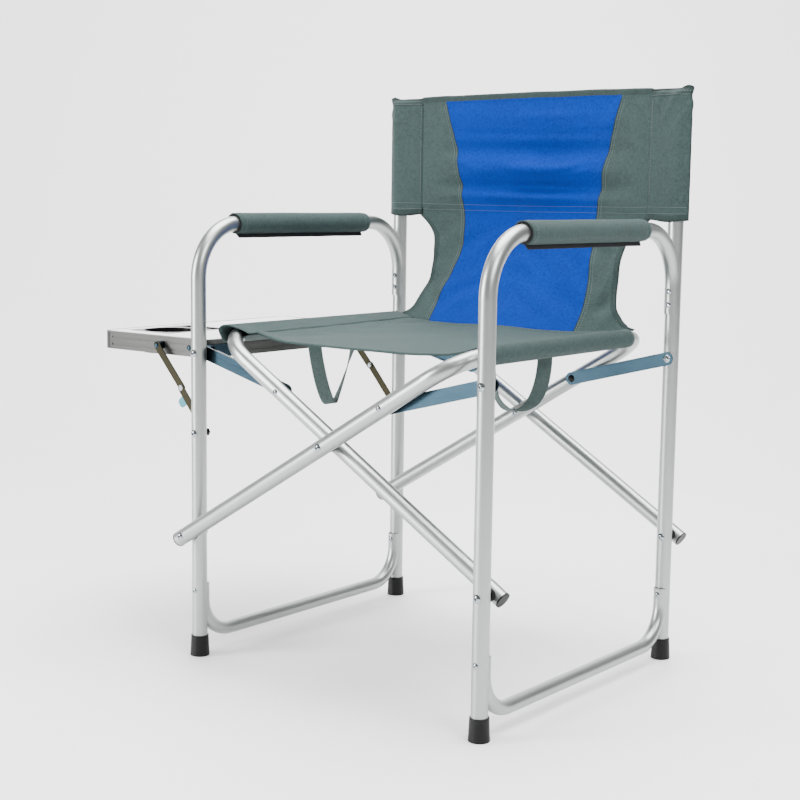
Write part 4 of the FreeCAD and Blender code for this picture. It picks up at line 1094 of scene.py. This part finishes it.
for name, _ in SIDES:
    post_pieces = post_sleeves[name][:3]
    rail_pieces = rail_sleeves[name][:2]
    for piece in post_pieces:
        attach(piece, name + "_frame")
    for piece in rail_pieces:
        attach(piece, RAIL_BODY[name])
    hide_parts("back_sleeve_" + name)
    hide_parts("seat_sleeve_" + name)
    loop, _ = loops[name]
    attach(loop, "strap_" + name)
    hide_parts("strap_loop_" + name)
    cover, flap, foam, thread = pads[name][0]
    for piece in (cover, flap, foam, thread):
        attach(piece, name + "_frame")
    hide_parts("arm_cover_" + name)
    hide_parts("arm_foam_" + name)


# --------------------------------------------------------- each piece's flat cut, unpacked and not used


for name, _ in SIDES:
    cloth, thread, piping, cut = post_sleeves[name]
    cloth, thread, cut = rail_sleeves[name]
    (cover, flap, foam, thread), cut = pads[name]
    loop, loop_cut = loops[name]


# ---------------------------------------------------------------- studio and camera

AZIMUTH, ELEVATION, ROLL = (math.radians(a) for a in (38.34, 7.58, 0.76))
EYE = place(1315.5, -1744.0, 668.0)
FOCAL, SENSOR = 69.15, 36.0
back_axis = Vector((math.sin(AZIMUTH) * math.cos(ELEVATION),
                    -math.cos(AZIMUTH) * math.cos(ELEVATION), math.sin(ELEVATION)))
right_axis = Vector((math.cos(AZIMUTH), math.sin(AZIMUTH), 0))
up_axis = back_axis.cross(right_axis)
right_turned = right_axis * math.cos(ROLL) + up_axis * math.sin(ROLL)
up_turned = -right_axis * math.sin(ROLL) + up_axis * math.cos(ROLL)
camera_data = bpy.data.cameras.new("camera")
camera = add_object("camera", camera_data)
camera.matrix_world = Matrix.Translation(EYE) @ Matrix(
    (right_turned, up_turned, back_axis)).transposed().to_4x4()
camera_data.lens = FOCAL
camera_data.sensor_width = SENSOR
camera_data.clip_end = 60
bpy.context.scene.camera = camera


def backdrop():
    """Pale floor that sweeps up behind the chair, in metres."""
    ahead = Vector((-math.sin(AZIMUTH), math.cos(AZIMUTH), 0))
    across = Vector((math.cos(AZIMUTH), math.sin(AZIMUTH), 0))
    # the sweep's radius and where it starts, the floor's extents, and its gap under the feet
    radius, start = 1.6, 1.4
    front, height, half_width = -9.0, 9.0, 10.0
    gap = 0.0004
    steps = 16
    line = [(front, 0.0), (start, 0.0)]
    for k in range(1, steps + 1):
        angle = math.pi / 2 * k / steps
        line.append((start + radius * math.sin(angle), radius * (1 - math.cos(angle))))
    line.append((start + radius, height))
    mesh = bpy.data.meshes.new("floor")
    verts = []
    for run, rise in line:
        for wide in (-half_width, half_width):
            verts.append(tuple(ahead * run + across * wide + Vector((0, 0, rise - gap))))
    quads = [(2 * k, 2 * k + 1, 2 * k + 3, 2 * k + 2) for k in range(len(line) - 1)]
    mesh.from_pydata(verts, [], quads)
    for polygon in mesh.polygons:
        polygon.use_smooth = True
    obj = add_object("floor", mesh)
    s = Shader("floor", (0.86, 0.855, 0.86), 0.6)
    s.shade(s.noise(s.coords(), 2.0, 3), 0.985, 1.01)
    s.roughness(s.noise(s.coords(), 30, 3), 0.45, 0.6)
    mesh.materials.append(s.mat)
    return obj


def soft_light(name, spot, target, size, power):
    """A rectangle of light at a spot, turned to a target."""
    data = bpy.data.lights.new(name, "AREA")
    data.shape = "RECTANGLE"
    data.size, data.size_y = size
    data.energy = power
    obj = add_object(name, data)
    obj.location = spot
    obj.rotation_euler = (Vector(target) - Vector(spot)).to_track_quat("-Z", "Y").to_euler()
    return obj


backdrop()
soft_light("key", (2.9, -1.1, 2.5), (0.1, 0, 0.45), (1.6, 1.6), 105)
soft_light("side", (-1.9, -3.0, 1.3), (0.1, 0, 0.4), (1.2, 2.4), 235)
soft_light("top", (0.2, 0.5, 3.6), (0.1, 0.3, 0), (3.2, 3.2), 450)
world = bpy.data.worlds.new("studio")
world.use_nodes = True
sky = world.node_tree.nodes["Background"]
sky.inputs["Color"].default_value = (0.95, 0.955, 0.97, 1)
sky.inputs["Strength"].default_value = 0.42
bpy.context.scene.world = world
